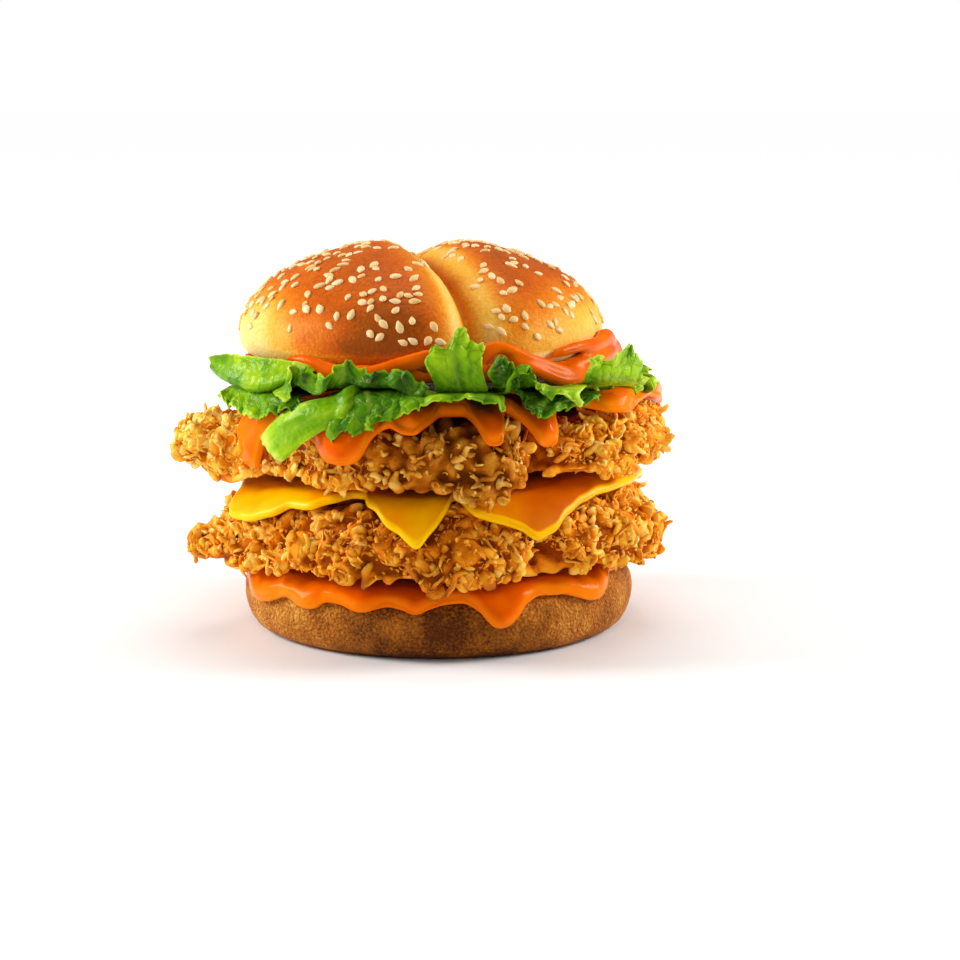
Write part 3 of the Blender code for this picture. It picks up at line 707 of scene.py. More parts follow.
def domeSpot(turn, share):
    radius, height = crownPoint(np.float64(turn), np.float64(share))
    across = math.radians(turn)
    return Vector((crown["centre"][0] + radius * math.cos(across), radius * math.sin(across), float(height)))


def fromCrease(turn, share):
    return abs(acrossCrease(turn, crown["radius"] * math.cos(math.radians(90.0 * share))))


def seedSpots():
    # the first places are spread by the golden angle, and the others crowd round them
    shake = np.random.default_rng(seeds["seed"])
    spots, i = [], 0
    while len(spots) < seeds["count"]:
        i += 1
        turn = (137.508 * i + shake.uniform(-9, 9)) % 360.0
        share = 1.0 - math.sqrt(i / (seeds["count"] * 1.28)) * 0.93 + shake.uniform(-0.03, 0.03)
        share = min(0.93, max(0.06, share))
        if fromCrease(turn, share) > seeds["crease"]:
            spots.append((turn, share))
    wanted = int(seeds["count"] * (1.0 + seeds["friends"]))
    placedSpots = [domeSpot(*spot) for spot in spots]
    tries = 0
    while len(spots) < wanted and tries < 9000:
        tries += 1
        if shake.random() < 0.62:
            turn, share = spots[shake.integers(len(spots))]
            turn = turn + shake.normal(0.0, 3.2) / max(0.2, math.cos(math.radians(90.0 * share)))
            share = share + shake.normal(0.0, 0.045)
        else:
            turn, share = shake.uniform(0, 360), shake.uniform(0.12, 0.94) ** 0.8
        if 0.05 < share < 0.95 and fromCrease(turn, share) > seeds["creaseFriends"]:
            place = domeSpot(turn, share)
            if min((place - other).length for other in placedSpots) > seeds["closest"]:
                spots.append((turn, share))
                placedSpots.append(place)
    return spots


def makeSeeds():
    shake = np.random.default_rng(seeds["seed"] + 1)
    points, turns = [], []
    for turn, share in seedSpots():
        across = domeSpot(turn + 1.5, share) - domeSpot(turn - 1.5, share)
        along = domeSpot(turn, share + 0.012) - domeSpot(turn, share - 0.012)
        normal = across.cross(along).normalized()
        facing = normal.to_track_quat("Z", "Y").to_matrix()
        spin = Matrix.Rotation(shake.uniform(0, 2 * math.pi), 3, "Z")
        tilt = Matrix.Rotation(math.radians(shake.uniform(-1, 1) * seeds["tilt"]), 3, "Y")
        turns.append((facing @ spin @ tilt).to_euler()[:])
        points.append((domeSpot(turn, share) + normal * seeds["standOff"])[:])
    spots = meshPiece("seedSpots", points, [], sesame)
    layer = spots.data.attributes.new("turn", "FLOAT_VECTOR", "POINT")
    layer.data.foreach_set("vector", np.array(turns, dtype=np.float32).ravel())
    base, faces = roundShape(10, 6)
    shapes = ((base, 0.8), (base, 0.95), (base * (0.92, 1.08, 1.0), 0.85))
    kit = makeKit("seedShape", [(seedShape(*shape), faces) for shape in shapes])
    values = {"Shapes": kit, "Finish": sesame, "Size spread": seeds["sizeSpread"], "Seed": seeds["seed"]}
    applyTree(spots, makePointTree(), values)
    dress(plainMesh(spots, "sesameSeeds", sesame), "bun_crown", "bun_crust")
    dropKit(kit)


makeSeeds()
print("seeds made")


# The section's rows are (radius, height), and the front shade's are (direction, darker by, half-width): painted
# shade under the overhang
heel = {
    "radius": 53.0, "height": 17.0, "angles": 320, "relief": 0.4, "toast": 0.58, "darker": ((-92, 0.46, 30),),
    "section": ((47.5, 0.0), (50.4, 1.6), (52.3, 5.0), (53.0, 9.5), (52.3, 13.0), (50.2, 15.8), (47.0, 17.0)),
}


def rounded(outline, count):
    # a Catmull-Rom curve through the outline's points
    outline = np.asarray(outline, dtype=float)
    ends = np.concatenate([outline[:1] * 2 - outline[1:2], outline, outline[-1:] * 2 - outline[-2:-1]])
    made = []
    for t in np.linspace(0.0, len(outline) - 1.0001, count):
        i, f = int(t), t - int(t)
        a, b, c, d = ends[i:i + 4]
        made.append(0.5 * (2 * b + (c - a) * f + (2 * a - 5 * b + 4 * c - d) * f**2
                           + (3 * b - a - 3 * c + d) * f**3))
    return np.array(made)


def makeHeel():
    angles = evenAngles(heel["angles"])
    turn = angles[:, None]
    low = [(radius, 0.0) for radius in (0.0, 20.0, 36.0, 44.0)]
    high = [(radius, heel["height"]) for radius in (42.0, 30.0, 0.0)]
    outline = np.concatenate([low, rounded(heel["section"], 40), high])
    radius = outline[None, :, 0] + 0.0 * turn
    height = np.clip(outline[None, :, 1], 0.0, heel["height"]) + 0.0 * turn
    spot = placed(turn, radius, height)
    flank = smooth((radius - 46.0) / 3.0) * smooth(height / 1.5)
    grain = layeredNoise(spot, 9.0, 2) * 0.8 + layeredNoise(spot, 1.6, 8) * 0.35
    radius = radius + heel["relief"] * flank * (grain - 0.4)
    # painted shade: darker at the front and along the bottom edge by the floor; also a little darker to the
    # right
    toast = heel["toast"] - bumps(turn, heel["darker"]) - 0.06 * np.cos(np.radians(turn))
    toast = toast + 0.2 * grain - 0.2 * smooth((3.0 - height) / 3.0)
    dress(polarPiece("bunHeel", angles, radius, height, bunToast, {"toast": toast}), "bun_heel", "bun_toast")


makeHeel()
print("lower bun made")


# what the draped sheets share
draping = {
    "crowding": 0.35, "smoothings": 6, "edgeStart": 0.72, "edgeRun": 0.25, "flankRun": 8.0, "innerShare": 0.55,
    "rimTurns": (-60, -30, 0, 30, 60), "tone": 0.4, "rimTone": 0.45, "nearRimHighlight": 0.6, "dropSideShade": 0.08,
}


def sheetPiece(name, table, look, finish):
    # a sheet over the skin, with a round edge at the height that "edge" gives
    turn = 2.0 * math.pi * np.arange(look["angles"]) / look["angles"]
    angles = -90.0 + np.degrees(turn - draping["crowding"] * np.sin(turn))
    edge = through(angles, look["edge"]) + look["wobble"] * softNoise(placed(angles, 14, 0 * angles), 1.0, 4)
    reach = np.maximum(fallTo(table, angles, edge), look["flat"] + 3.0)
    for _ in range(draping["smoothings"]):
        reach = 0.5 * reach + 0.25 * (np.roll(reach, 1) + np.roll(reach, -1))
    reach = reach[:, None]
    k = (np.arange(look["steps"] + 1) / look["steps"])[None, :]
    stations = look["flat"] + (reach - look["flat"]) * (1.0 - (1.0 - k) ** 1.25)
    a = angles[:, None]
    ripple = layeredNoise(placed(a, stations, 0 * stations), look["rippleSize"], look["seed"])
    nearEdge = smooth((stations / reach - draping["edgeStart"]) / draping["edgeRun"])
    flank = smooth((stations - look["flat"]) / draping["flankRun"])
    lift = look["gap"] + look["lift"] * nearEdge * (0.5 + 0.5 * ripple) * flank
    thick = look["thickness"] * (1.0 + (look["tipSwell"] - 1.0) * nearEdge)
    thick = thick * (1.0 + look["ripple"] * ripple * flank)
    # thinner towards the sides of a drop, so that drops are round across
    beside = range(-look["roundOver"], look["roundOver"] + 1)
    covered = sum(np.clip((np.roll(reach, k) - stations) / 2.0 + 0.6, 0.0, 1.0) for k in beside) / len(beside)
    thick = thick * (1.0 - look["rounding"] * (1.0 - covered) * flank)
    half = 0.5 * thick[:, -1:]
    top = look["gap"] + look["thickness"]
    centre, inner = 0.0 * reach, draping["innerShare"] * look["flat"] + 0.0 * reach
    rows = [(centre, look["gap"]), (inner, look["gap"]), (stations, lift)]
    for turnUp in np.radians(draping["rimTurns"]):
        rows.append((reach + half * math.cos(turnUp) * 1.1, lift[:, -1:] + half * (1.0 + math.sin(turnUp))))
    rows += [(stations[:, ::-1], (lift + thick)[:, ::-1]), (inner, top), (centre, top)]
    radius, height = (np.concatenate(part, axis=1) for part in zip(*(onSkin(table, a, *row) for row in rows)))
    radius[:, [0, -1]] = 0.0
    # painted light and shade: a painted highlight on the rim and the face near it, painted shade on the sides
    # of drops, and the look's shade rows by direction
    near = smooth((stations - reach + look["rimHighlightWidth"]) / look["rimHighlightWidth"])
    tone = (draping["tone"] + bumps(angles, look["shade"]))[:, None]
    face = tone + (1.0 - tone) * draping["nearRimHighlight"] * near - draping["dropSideShade"] * (1.0 - covered)
    bright = [(1.0 - draping["rimTone"]) * tone + draping["rimTone"]] * len(draping["rimTurns"])
    rim = [tone, tone, tone + 0.0 * near, *bright, face[:, ::-1], tone, tone]
    return polarPiece(name, angles, radius, height, finish, {"rim": np.concatenate(rim, axis=1)})


# "edge" gives the height of the sheet's lower edge in each direction
# "shade" rows of (direction, change, half-width) are painted light and shade by direction
cheeseLook = {
    "edge": ((-180, 36.5), (-172, 37.0), (-165, 36.5), (-160, 33.5), (-156, 31.8), (-149, 32.4), (-140, 34.6),
             (-135, 37.3), (-128, 37.4), (-122, 39.2), (-115, 40.6), (-108, 38.9), (-101, 35.0), (-94, 31.4),
             (-90.5, 35.0), (-87, 38.4), (-84, 41.0), (-82, 39.6), (-79, 37.6), (-73, 36.2), (-68, 34.8),
             (-64, 32.4), (-59, 33.6), (-53, 36.8), (-46, 38.8), (-38, 40.0), (-27, 40.2), (-14, 40.5),
             (0, 39.5), (15, 35.5), (28, 31.5), (42, 36.5), (58, 38.0), (75, 31.0), (90, 36.5), (104, 37.5),
             (118, 31.5), (132, 36.5), (150, 37.5), (166, 36.5)),
    "roundOver": 2, "rounding": 0.0, "wobble": 0.08, "flat": 42.0, "gap": 0.45, "thickness": 2.0,
    "tipSwell": 1.12, "lift": 1.0, "ripple": 0.08, "rippleSize": 16.0, "rimHighlightWidth": 0.8,
    "shade": ((-50, -0.46, 20), (-94, 0.08, 6), (-83, -0.2, 4), (-150, 0.15, 20)), "angles": 480,
    "steps": 40, "seed": 3,
}
middleSauceLook = {
    "edge": ((-180, 62.0), (-168, 61.5), (-158, 61.0), (-153.5, 60.0), (-151, 56.0), (-149.5, 49.0),
             (-147.5, 47.2), (-145, 47.4), (-143, 50.5), (-140.5, 57.0), (-134, 59.0), (-127, 59.0),
             (-121, 58.0), (-118.5, 54.0), (-116, 52.9), (-111.5, 52.9), (-108.5, 54.6), (-105.5, 59.4),
             (-102, 61.0), (-98, 59.8), (-95, 59.6), (-92, 61.0), (-88, 62.6), (-82, 62.8), (-79.5, 61.8),
             (-78, 58.6), (-76.3, 57.0), (-74, 57.0), (-72.4, 58.6), (-71, 61.4), (-68, 62.4), (-65, 61.4),
             (-63.4, 57.6), (-61.4, 56.2), (-59, 56.2), (-57.2, 57.6), (-55.4, 61.0), (-48, 62.6),
             (-40, 62.4), (-33, 61.0), (-28, 60.4), (-22, 61.6), (-10, 62.0), (0, 60.0), (12, 57.0),
             (22, 61.0), (34, 58.0), (45, 52.0), (56, 58.5), (70, 61.0), (82, 57.0), (94, 61.5), (104, 56.0),
             (112, 52.0), (120, 58.5), (135, 61.0), (150, 58.5), (165, 61.5)),
    "roundOver": 7, "rounding": 1.0, "wobble": 0.15, "flat": 43.0, "gap": 0.45, "thickness": 1.9,
    "tipSwell": 2.3, "lift": 0.1, "ripple": 0.2, "rippleSize": 9.0, "rimHighlightWidth": 2.5,
    "shade": ((-92, -0.4, 26), (-150, 0.25, 16)), "angles": 520, "steps": 34, "seed": 6,
}
lowerSauceLook = {
    "edge": ((-180, 15.4), (-170, 15.2), (-161, 14.2), (-156, 11.9), (-151, 11.1), (-145, 11.7), (-141, 12.7),
             (-137, 14.1), (-131, 12.2), (-126, 12.2), (-122, 14.7), (-117, 14.3), (-113, 13.2), (-110, 13.1),
             (-107, 13.9), (-103, 14.9), (-99, 14.3), (-95.5, 12.9), (-92, 14.3), (-87, 15.4), (-82, 15.4),
             (-78, 13.9), (-76, 11.8), (-74, 10.0), (-72, 9.4), (-70, 9.8), (-67, 11.8), (-64, 14.7),
             (-59, 15.8), (-51, 15.3), (-46, 14.1), (-42, 12.7), (-37, 12.5), (-33, 14.5), (-26, 16.4),
             (-14, 16.4), (-4, 16.4), (10, 14.5), (25, 9.5), (40, 14.0), (60, 12.5), (78, 14.5), (95, 8.8),
             (110, 14.0), (130, 12.0), (148, 14.5), (165, 10.0)),
    "roundOver": 6, "rounding": 1.0, "wobble": 0.2, "flat": 45.0, "gap": 0.5, "thickness": 1.5,
    "tipSwell": 1.6, "lift": 0.1, "ripple": 0.2, "rippleSize": 8.0, "rimHighlightWidth": 2.5,
    "shade": ((-88, -0.35, 26), (-140, 0.2, 16), (-45, 0.15, 16)), "angles": 480, "steps": 30, "seed": 9,
}


def heelSkin(angle):
    outline = np.concatenate([rounded(heel["section"], 60), [(0.0, heel["height"])]])[::-1]
    along = np.concatenate([[0.0], np.cumsum(np.hypot(*np.diff(outline, axis=0).T))])
    fine = np.linspace(0.0, along[-1], 150)
    return np.interp(fine, along, outline[:, 0]), np.interp(fine, along, outline[:, 1])


heelTable = skinTable(heelSkin)
for name, node, table, look, finish, slot in (
    ("cheeseSlice", "cheese", lowerSkin, cheeseLook, cheddar, "cheese"),
    ("sauceMiddle", "sauce_middle", upperSkin, middleSauceLook, chilliMayo, "sauce"),
    ("sauceLower", "sauce_lower", heelTable, lowerSauceLook, chilliMayo, "sauce"),
):
    dress(sheetPiece(name, table, look, finish), node, slot)
print("cheese and sauces draped")


upperSauce = {
    "floor": 71.4, "reach": 48.5, "bead": 6.5, "round": 2.6, "clearance": 0.7, "thickness": 1.3, "inner": 0.82,
    "wave": 0.8, "angles": 420, "voxel": 0.6, "settling": 8,
    "bumps": ((-105, 2.0, 14), (-60, 3.5, 12), (-25, 3.5, 12), (20, 1.5, 12), (70, 3.0, 12), (115, 2.0, 12),
              (180, -1.2, 20)),
}
# folds of sauce on the bun's lower edge: direction, distance from the bun's axis, height, half-width
sauceRibbons = (
    ((-133, 49.8, 76.6, 1.4), (-126, 50.2, 76.4, 2.0), (-120, 50.6, 75.5, 2.2), (-114, 51.2, 73.6, 3.0),
     (-109, 51.4, 72.9, 2.6), (-105, 51.4, 73.3, 3.0), (-100, 51.2, 74.7, 2.6), (-95, 50.8, 76.5, 2.3),
     (-90, 50.6, 77.8, 2.3), (-86, 50.4, 78.7, 2.2), (-83, 50.0, 77.9, 1.4)),
    ((-72, 50.2, 74.6, 1.6), (-72, 50.6, 77.7, 2.2), (-70, 50.5, 79.6, 2.2), (-66, 50.4, 80.5, 1.8),
     (-62, 50.7, 79.5, 1.6), (-57, 51.0, 77.4, 1.6), (-51, 51.2, 75.5, 1.6), (-45, 51.4, 73.5, 1.6),
     (-39, 51.4, 72.1, 1.6), (-32, 51.0, 72.6, 1.4), (-25, 50.4, 74.5, 1.3)),
    ((-63, 51.6, 77.4, 0.9), (-58, 52.0, 75.6, 1.3), (-53, 52.4, 73.5, 1.6), (-47, 52.6, 71.2, 1.6),
     (-41, 52.4, 70.3, 1.6), (-34, 51.8, 70.9, 1.4), (-28, 51.0, 72.7, 1.1)),
    ((-48, 49.8, 76.9, 0.9), (-43, 50.2, 77.8, 1.4), (-35, 50.4, 78.4, 1.6), (-25, 50.5, 78.0, 2.0),
     (-12, 50.4, 77.3, 2.4), (-3, 52.5, 74.6, 2.2), (-3, 53.6, 72.5, 1.6)),
    ((-24, 49.6, 77.5, 1.4), (-16, 50.6, 79.0, 2.4), (-7, 51.0, 77.0, 2.4), (2, 50.4, 75.5, 1.4)),
    ((40, 49.6, 75.5, 1.4), (58, 50.8, 75.0, 2.4), (76, 50.8, 77.0, 2.2), (94, 49.8, 76.0, 1.4)),
    ((118, 49.6, 76.0, 1.4), (128, 50.8, 75.0, 2.4), (138, 50.8, 76.5, 2.2), (148, 49.6, 75.5, 1.4)),
    ((-44, 49.8, 73.0, 1.4), (-30, 50.8, 73.8, 2.2), (-14, 51.2, 74.2, 2.6), (-3, 51.4, 73.6, 2.4),
     (8, 50.2, 73.0, 1.4)),
)


def ribbonMesh(rows, turns=14):
    # a flattened tube through the rows, closed at both ends
    angle, away, height, wide = rounded(rows, 8 * len(rows)).T
    spots = placed(angle, away, height) + (*crown["centre"], 0.0)
    out = placed(angle, 1.0, 0 * angle)
    ahead = np.gradient(spots, axis=0)
    ahead /= np.linalg.norm(ahead, axis=1, keepdims=True)
    across = np.cross(out, ahead)
    across /= np.linalg.norm(across, axis=1, keepdims=True)
    k = np.linspace(0, 1, len(spots))
    close = np.sqrt(np.clip(1.0 - np.abs(2 * k - 1) ** 8, 0.02, 1.0))
    turn = (2 * math.pi * np.arange(turns) / turns)[None, :, None]
    w = (wide * close)[:, None, None]
    ring = spots[:, None] + across[:, None] * np.cos(turn) * w + out[:, None] * np.sin(turn) * (0.62 * w + 0.25)
    return np.concatenate([spots[:1], ring.reshape(-1, 3), spots[-1:]]), tubeFaces(turns, len(spots))


def makeUpperSauce():
    s, r = upperSauce, crown["radius"]
    angles = evenAngles(s["angles"])
    ring = placed(angles, 50, 0 * angles)
    reach = (s["reach"] + bumps(angles, s["bumps"]) + s["wave"] * layeredNoise(ring, 7.0, 4))[:, None]
    bead = (s["bead"] * (1.0 + 0.25 * layeredNoise(ring, 9.0, 12)))[:, None]
    radius, height = [0 * reach, 0 * reach + s["inner"] * r], [0 * reach + s["floor"]] * 2
    for turnUp in np.radians(np.linspace(-85, 80, 14)):
        at = reach - s["round"] + s["round"] * math.cos(turnUp)
        up = s["floor"] + bead * (0.42 + 0.42 * math.sin(turnUp))
        ceiling = np.where(at < r, crownUnder(at) - s["clearance"], crown["widest"] - 1.0)
        radius.append(at)
        height.append(np.minimum(up, ceiling))
    for inside in (0.965, 0.93, 0.89):
        radius.append(0 * reach + inside * r)
        height.append(np.minimum(crownUnder(radius[-1]) - s["clearance"], height[-1]))
    radius += [0 * reach + s["inner"] * r - 2.0, 0 * reach]
    height += [0 * reach + s["floor"] + s["thickness"]] * 2
    radius, height = np.concatenate(radius, axis=1), np.concatenate(height, axis=1)
    disc = polarPiece("sauceDisc", angles, radius, height, chilliMayo, {}, crown["centre"])
    points, faces = [meshPoints(disc.data)], [list(p.vertices) for p in disc.data.polygons]
    for rows in sauceRibbons:
        more, moreFaces = ribbonMesh(rows)
        shift = sum(len(part) for part in points)
        points.append(more)
        faces += [[v + shift for v in face] for face in moreFaces]
    bpy.data.objects.remove(disc)
    joined = meshPiece("sauceJoined", np.concatenate(points), faces, chilliMayo)
    merge = joined.modifiers.new("merge", "REMESH")
    merge.mode, merge.voxel_size = "VOXEL", s["voxel"] * mm
    settle = joined.modifiers.new("settle", "SMOOTH")
    settle.factor, settle.iterations = 0.5, s["settling"]
    piece = plainMesh(joined, "sauceUpper", chilliMayo)
    keepValues(piece.data, {"rim": 0.35 + 0.25 * layeredNoise(meshPoints(piece.data), 7.0, 3)})
    dress(piece, "sauce_upper", "sauce")


makeUpperSauce()
print("upper sauce made")


# The shown leaves: rows of points from the leaf's root to its free edge, each from left to right
netLeaves = {
    "leaf_left_pale": (
        ((-30.7, -44.4, 73.6), (-35.9, -43.0, 71.8), (-43.9, -38.6, 68.3), (-50.1, -33.1, 68.6),
         (-55.3, -27.0, 70.0), (-59.1, -21.7, 71.6)),
        ((-30.2, -44.8, 74.7), (-36.1, -42.8, 74.1), (-44.1, -39.2, 72.3), (-50.4, -34.4, 72.9),
         (-56.2, -27.3, 73.2), (-60.1, -21.9, 73.2)),
        ((-29.7, -44.5, 75.6), (-37.0, -40.7, 76.4), (-44.5, -36.4, 77.1), (-50.7, -30.2, 76.7),
         (-56.1, -22.7, 75.7), (-59.9, -15.8, 73.7)),
    ),
    "leaf_left_lower": (
        ((-52.6, -21.9, 67.4), (-47.9, -30.8, 68.0), (-43.3, -37.1, 67.9), (-38.3, -42.2, 68.1),
         (-33.5, -46.1, 68.2)),
        ((-55.6, -23.8, 66.1), (-50.6, -33.1, 65.4), (-45.4, -40.0, 65.4), (-39.6, -45.7, 66.1),
         (-34.0, -50.1, 67.0)),
        ((-57.2, -26.3, 64.6), (-52.0, -35.6, 62.9), (-45.8, -42.6, 61.5), (-40.6, -46.9, 63.4),
         (-35.4, -50.9, 66.1)),
    ),
    "leaf_front_ruffled": (
        ((-40.9, -38.3, 68.6), (-35.4, -43.4, 70.4), (-31.1, -46.6, 70.8), (-26.4, -48.8, 70.6),
         (-22.1, -50.4, 71.4), (-17.2, -52.2, 71.2), (-11.1, -53.9, 71.4), (-5.6, -54.7, 71.0),
         (-1.1, -55.0, 70.6)),
        ((-39.4, -45.3, 67.6), (-36.2, -45.3, 72.7), (-30.1, -51.3, 69.5), (-26.2, -53.4, 72.1),
         (-21.9, -52.6, 74.8), (-17.5, -55.8, 72.7), (-11.5, -57.4, 73.7), (-6.0, -59.2, 70.2),
         (-1.5, -60.0, 70.8)),
        ((-37.0, -49.7, 67.0), (-34.6, -47.2, 75.3), (-30.5, -51.1, 75.1), (-25.5, -55.4, 75.2),
         (-22.1, -52.5, 79.1), (-16.8, -55.0, 76.4), (-11.0, -56.9, 77.4), (-4.7, -59.4, 74.8),
         (-1.0, -60.9, 73.1)),
    ),
    "leaf_front_left_bright": (
        ((-20.2, -53.3, 72.1), (-20.1, -54.9, 69.5), (-20.3, -56.5, 66.8), (-21.1, -56.2, 63.7)),
        ((-25.2, -53.3, 69.3), (-24.8, -55.7, 67.1), (-25.3, -56.9, 64.6), (-26.7, -55.4, 61.5)),
        ((-32.4, -51.1, 67.4), (-31.5, -54.0, 64.8), (-31.4, -55.2, 61.7), (-32.3, -53.5, 57.9)),
        ((-39.0, -46.9, 63.4), (-37.5, -50.6, 61.0), (-36.5, -52.0, 57.9), (-36.4, -50.2, 54.0)),
        ((-45.0, -40.4, 56.7), (-43.4, -44.2, 55.0), (-41.5, -46.7, 52.9), (-39.2, -47.4, 51.4)),
    ),
    "leaf_front_left_dark": (
        ((-25.9, -49.6, 69.2), (-21.3, -51.8, 70.1), (-16.7, -53.5, 70.3), (-11.1, -54.9, 70.6),
         (-7.1, -55.6, 70.7)),
        ((-26.2, -54.5, 65.4), (-21.0, -57.3, 66.4), (-16.5, -58.7, 67.6), (-12.0, -59.3, 67.7),
         (-7.5, -60.0, 68.8)),
        ((-27.2, -55.7, 60.8), (-22.5, -58.9, 63.3), (-18.0, -59.9, 62.5), (-13.9, -61.4, 65.5),
         (-8.4, -61.4, 66.5)),
        ((-26.1, -56.4, 58.4), (-22.0, -59.0, 61.1), (-19.5, -59.4, 60.2), (-15.4, -61.1, 63.5),
         (-10.4, -61.3, 64.8)),
    ),
    "leaf_front_long": (
        ((-20.7, -52.6, 67.7), (-14.1, -54.7, 69.0), (-7.6, -56.0, 70.0), (-1.1, -56.0, 70.2),
         (5.4, -55.7, 70.2), (12.4, -54.6, 70.0), (16.9, -53.4, 69.3)),
        ((-21.1, -56.7, 65.3), (-14.0, -58.9, 67.4), (-7.5, -60.0, 68.8), (-1.0, -60.5, 69.9),
         (5.4, -60.3, 70.1), (12.4, -59.2, 70.0), (17.9, -57.8, 68.2)),
        ((-20.5, -58.8, 62.3), (-13.4, -61.6, 64.3), (-7.2, -61.9, 65.2), (-2.4, -62.0, 67.8),
         (4.5, -62.0, 68.8), (11.9, -61.3, 68.6), (18.1, -59.6, 66.2)),
    ),
    "leaf_front_standing": (
        ((0.7, -55.0, 70.8), (3.6, -54.9, 70.3), (6.6, -54.6, 70.0), (9.6, -54.1, 69.9), (13.2, -53.4, 70.1)),
        ((-0.8, -57.0, 74.9), (2.7, -57.9, 75.5), (6.2, -57.7, 75.5), (9.2, -57.3, 75.4),
         (12.4, -55.6, 74.2)),
        ((-2.3, -57.0, 78.4), (2.0, -58.5, 79.9), (5.7, -58.7, 81.2), (8.7, -57.3, 80.0),
         (11.6, -55.8, 77.7)),
        ((-0.8, -56.5, 80.6), (2.5, -57.7, 81.5), (6.2, -57.7, 84.5), (9.2, -56.8, 83.1),
         (11.6, -55.3, 80.7)),
        ((0.7, -56.3, 81.3), (3.5, -57.3, 82.5), (6.9, -56.6, 86.4), (9.7, -56.0, 83.8), (12.4, -54.6, 83.9)),
    ),
    "leaf_right_ruffled": (
        ((17.2, -52.2, 69.9), (21.5, -50.6, 70.9), (26.5, -48.2, 71.1), (32.2, -44.6, 70.0),
         (38.0, -38.3, 70.1)),
        ((18.1, -55.6, 73.2), (22.4, -55.1, 74.6), (26.9, -54.2, 72.0), (31.7, -52.1, 70.9),
         (37.7, -48.0, 70.5)),
        ((19.4, -56.3, 75.5), (23.4, -56.4, 76.1), (26.6, -57.1, 71.1), (31.1, -55.3, 70.4),
         (36.3, -52.1, 68.9)),
        ((20.9, -55.7, 76.7), (24.8, -56.8, 75.6), (27.8, -58.2, 69.5), (33.1, -55.9, 69.2),
         (38.3, -51.9, 66.0)),
    ),
    "leaf_front_right_dark": (
        ((14.7, -53.0, 71.8), (19.2, -52.6, 70.5), (24.0, -51.7, 69.8), (29.0, -50.2, 69.1),
         (34.7, -46.5, 68.0), (41.1, -39.5, 68.0)),
        ((13.6, -55.3, 75.4), (18.4, -55.0, 73.9), (22.1, -55.8, 68.9), (27.7, -54.4, 67.2),
         (33.5, -51.6, 67.3), (41.4, -43.4, 67.5)),
        ((16.4, -55.1, 80.4), (20.1, -54.9, 78.1), (23.4, -56.9, 67.3), (27.9, -55.7, 63.8),
         (33.5, -53.4, 65.5), (41.3, -45.5, 66.8)),
    ),
    "leaf_right_jagged": (
        ((36.9, -40.8, 70.5), (40.6, -38.6, 70.2), (45.4, -34.5, 69.5), (50.4, -28.7, 68.4)),
        ((38.0, -45.1, 73.9), (42.4, -43.9, 73.5), (47.7, -39.6, 72.6), (53.6, -34.9, 70.4)),
        ((39.2, -46.1, 77.1), (43.9, -43.1, 76.7), (49.8, -38.6, 75.6), (55.1, -36.4, 70.3)),
        ((40.5, -44.9, 79.3), (46.0, -40.8, 79.0), (51.1, -35.9, 80.1), (56.1, -36.6, 69.6)),
    ),
}
# tones of the left and right sides, push and length of a ruffle, depth and width of a tooth, share of crinkles
netLooks = {
    "leaf_left_pale": (0.67, 0.48, 0.16, 18.0, 0.4, 6.0, 0.2),
    "leaf_left_lower": (0.76, 0.24, 0.9, 7.0, 1.0, 3.0, 1.0),
    "leaf_front_ruffled": (0.6, 0.34, 1.1, 8.0, 1.3, 3.5, 1.0),
    "leaf_front_left_bright": (0.62, 0.74, 0.2, 9.0, 0.4, 3.0, 0.25),
    "leaf_front_left_dark": (0.32, 0.34, 1.3, 6.0, 1.3, 3.0, 1.0),
    "leaf_front_long": (0.36, 0.6, 1.1, 7.5, 1.1, 3.5, 1.0),
    "leaf_front_standing": (0.56, 0.72, 1.15, 6.5, 2.1, 2.8, 1.0),
    "leaf_right_ruffled": (0.5, 0.76, 0.9, 7.0, 1.4, 3.0, 1.0),
    "leaf_front_right_dark": (0.24, 0.32, 1.2, 6.0, 1.2, 3.0, 1.0),
    "leaf_right_jagged": (0.66, 0.74, 0.95, 7.0, 2.6, 4.5, 1.0),
}
plainLook = (0.5, 0.6, 2.2, 12.0, 1.4, 4.5, 1.0)
# The other leaves: direction, half-width, start and edge height,
# or direction, half-width, start, end, stand-off and climb
hangingLeaves = {
    "leaf_right_low": (-4, 34, 30, 61.0),
    "leaf_back_hanging": (82, 30, 28, 57.0),
    "leaf_left_low": (158, 33, 30, 59.0),
}
spreadLeaves = {
    "leaf_back_level": (66, 34, 28, 60, 4.4, -6),
    "leaf_back_raised": (126, 26, 28, 63, 6.1, 36),
}
leafLook = {
    "thickness": 0.55, "edgeThickness": 0.3, "wave": 1.8, "wavesRound": 12, "narrowing": 0.6, "crowding": 0.7,
    "corners": 3.5, "standOff": 2.8, "foldOver": 0.35, "veinSpacing": 5.5, "crinkle": 0.3, "crinkleSize": 3.2,
    "rootRadius": 40.0, "rootHeight": 68.4, "farthest": 62.6, "along": 70, "across": 110,
    "midrib": 0.8, "rib": 0.35, "veinlet": 0.08, "patches": 0.2, "streaks": 0.3, "ruffleTone": 0.17,
    "rimTone": 0.3, "crinkleShade": 0.08, "rootShade": 0.14, "undersideShade": 0.12,
}


def leafWave(angle, length):
    free = smooth((length - 46.0) / 12.0)
    return leafLook["wave"] * free * (0.5 + 0.5 * np.sin(np.radians(leafLook["wavesRound"] * angle)))


def spread(row, end, side, share):
    # directions and lengths over a leaf whose sides draw in towards its end
    narrow = np.sqrt(1.0 - leafLook["narrowing"] * smooth((share - 0.5) / 0.5))
    end = end - leafLook["corners"] * np.abs(side) ** 4
    return row[0] + row[1] * side * narrow, row[2] + (end - row[2]) * share ** leafLook["crowding"]


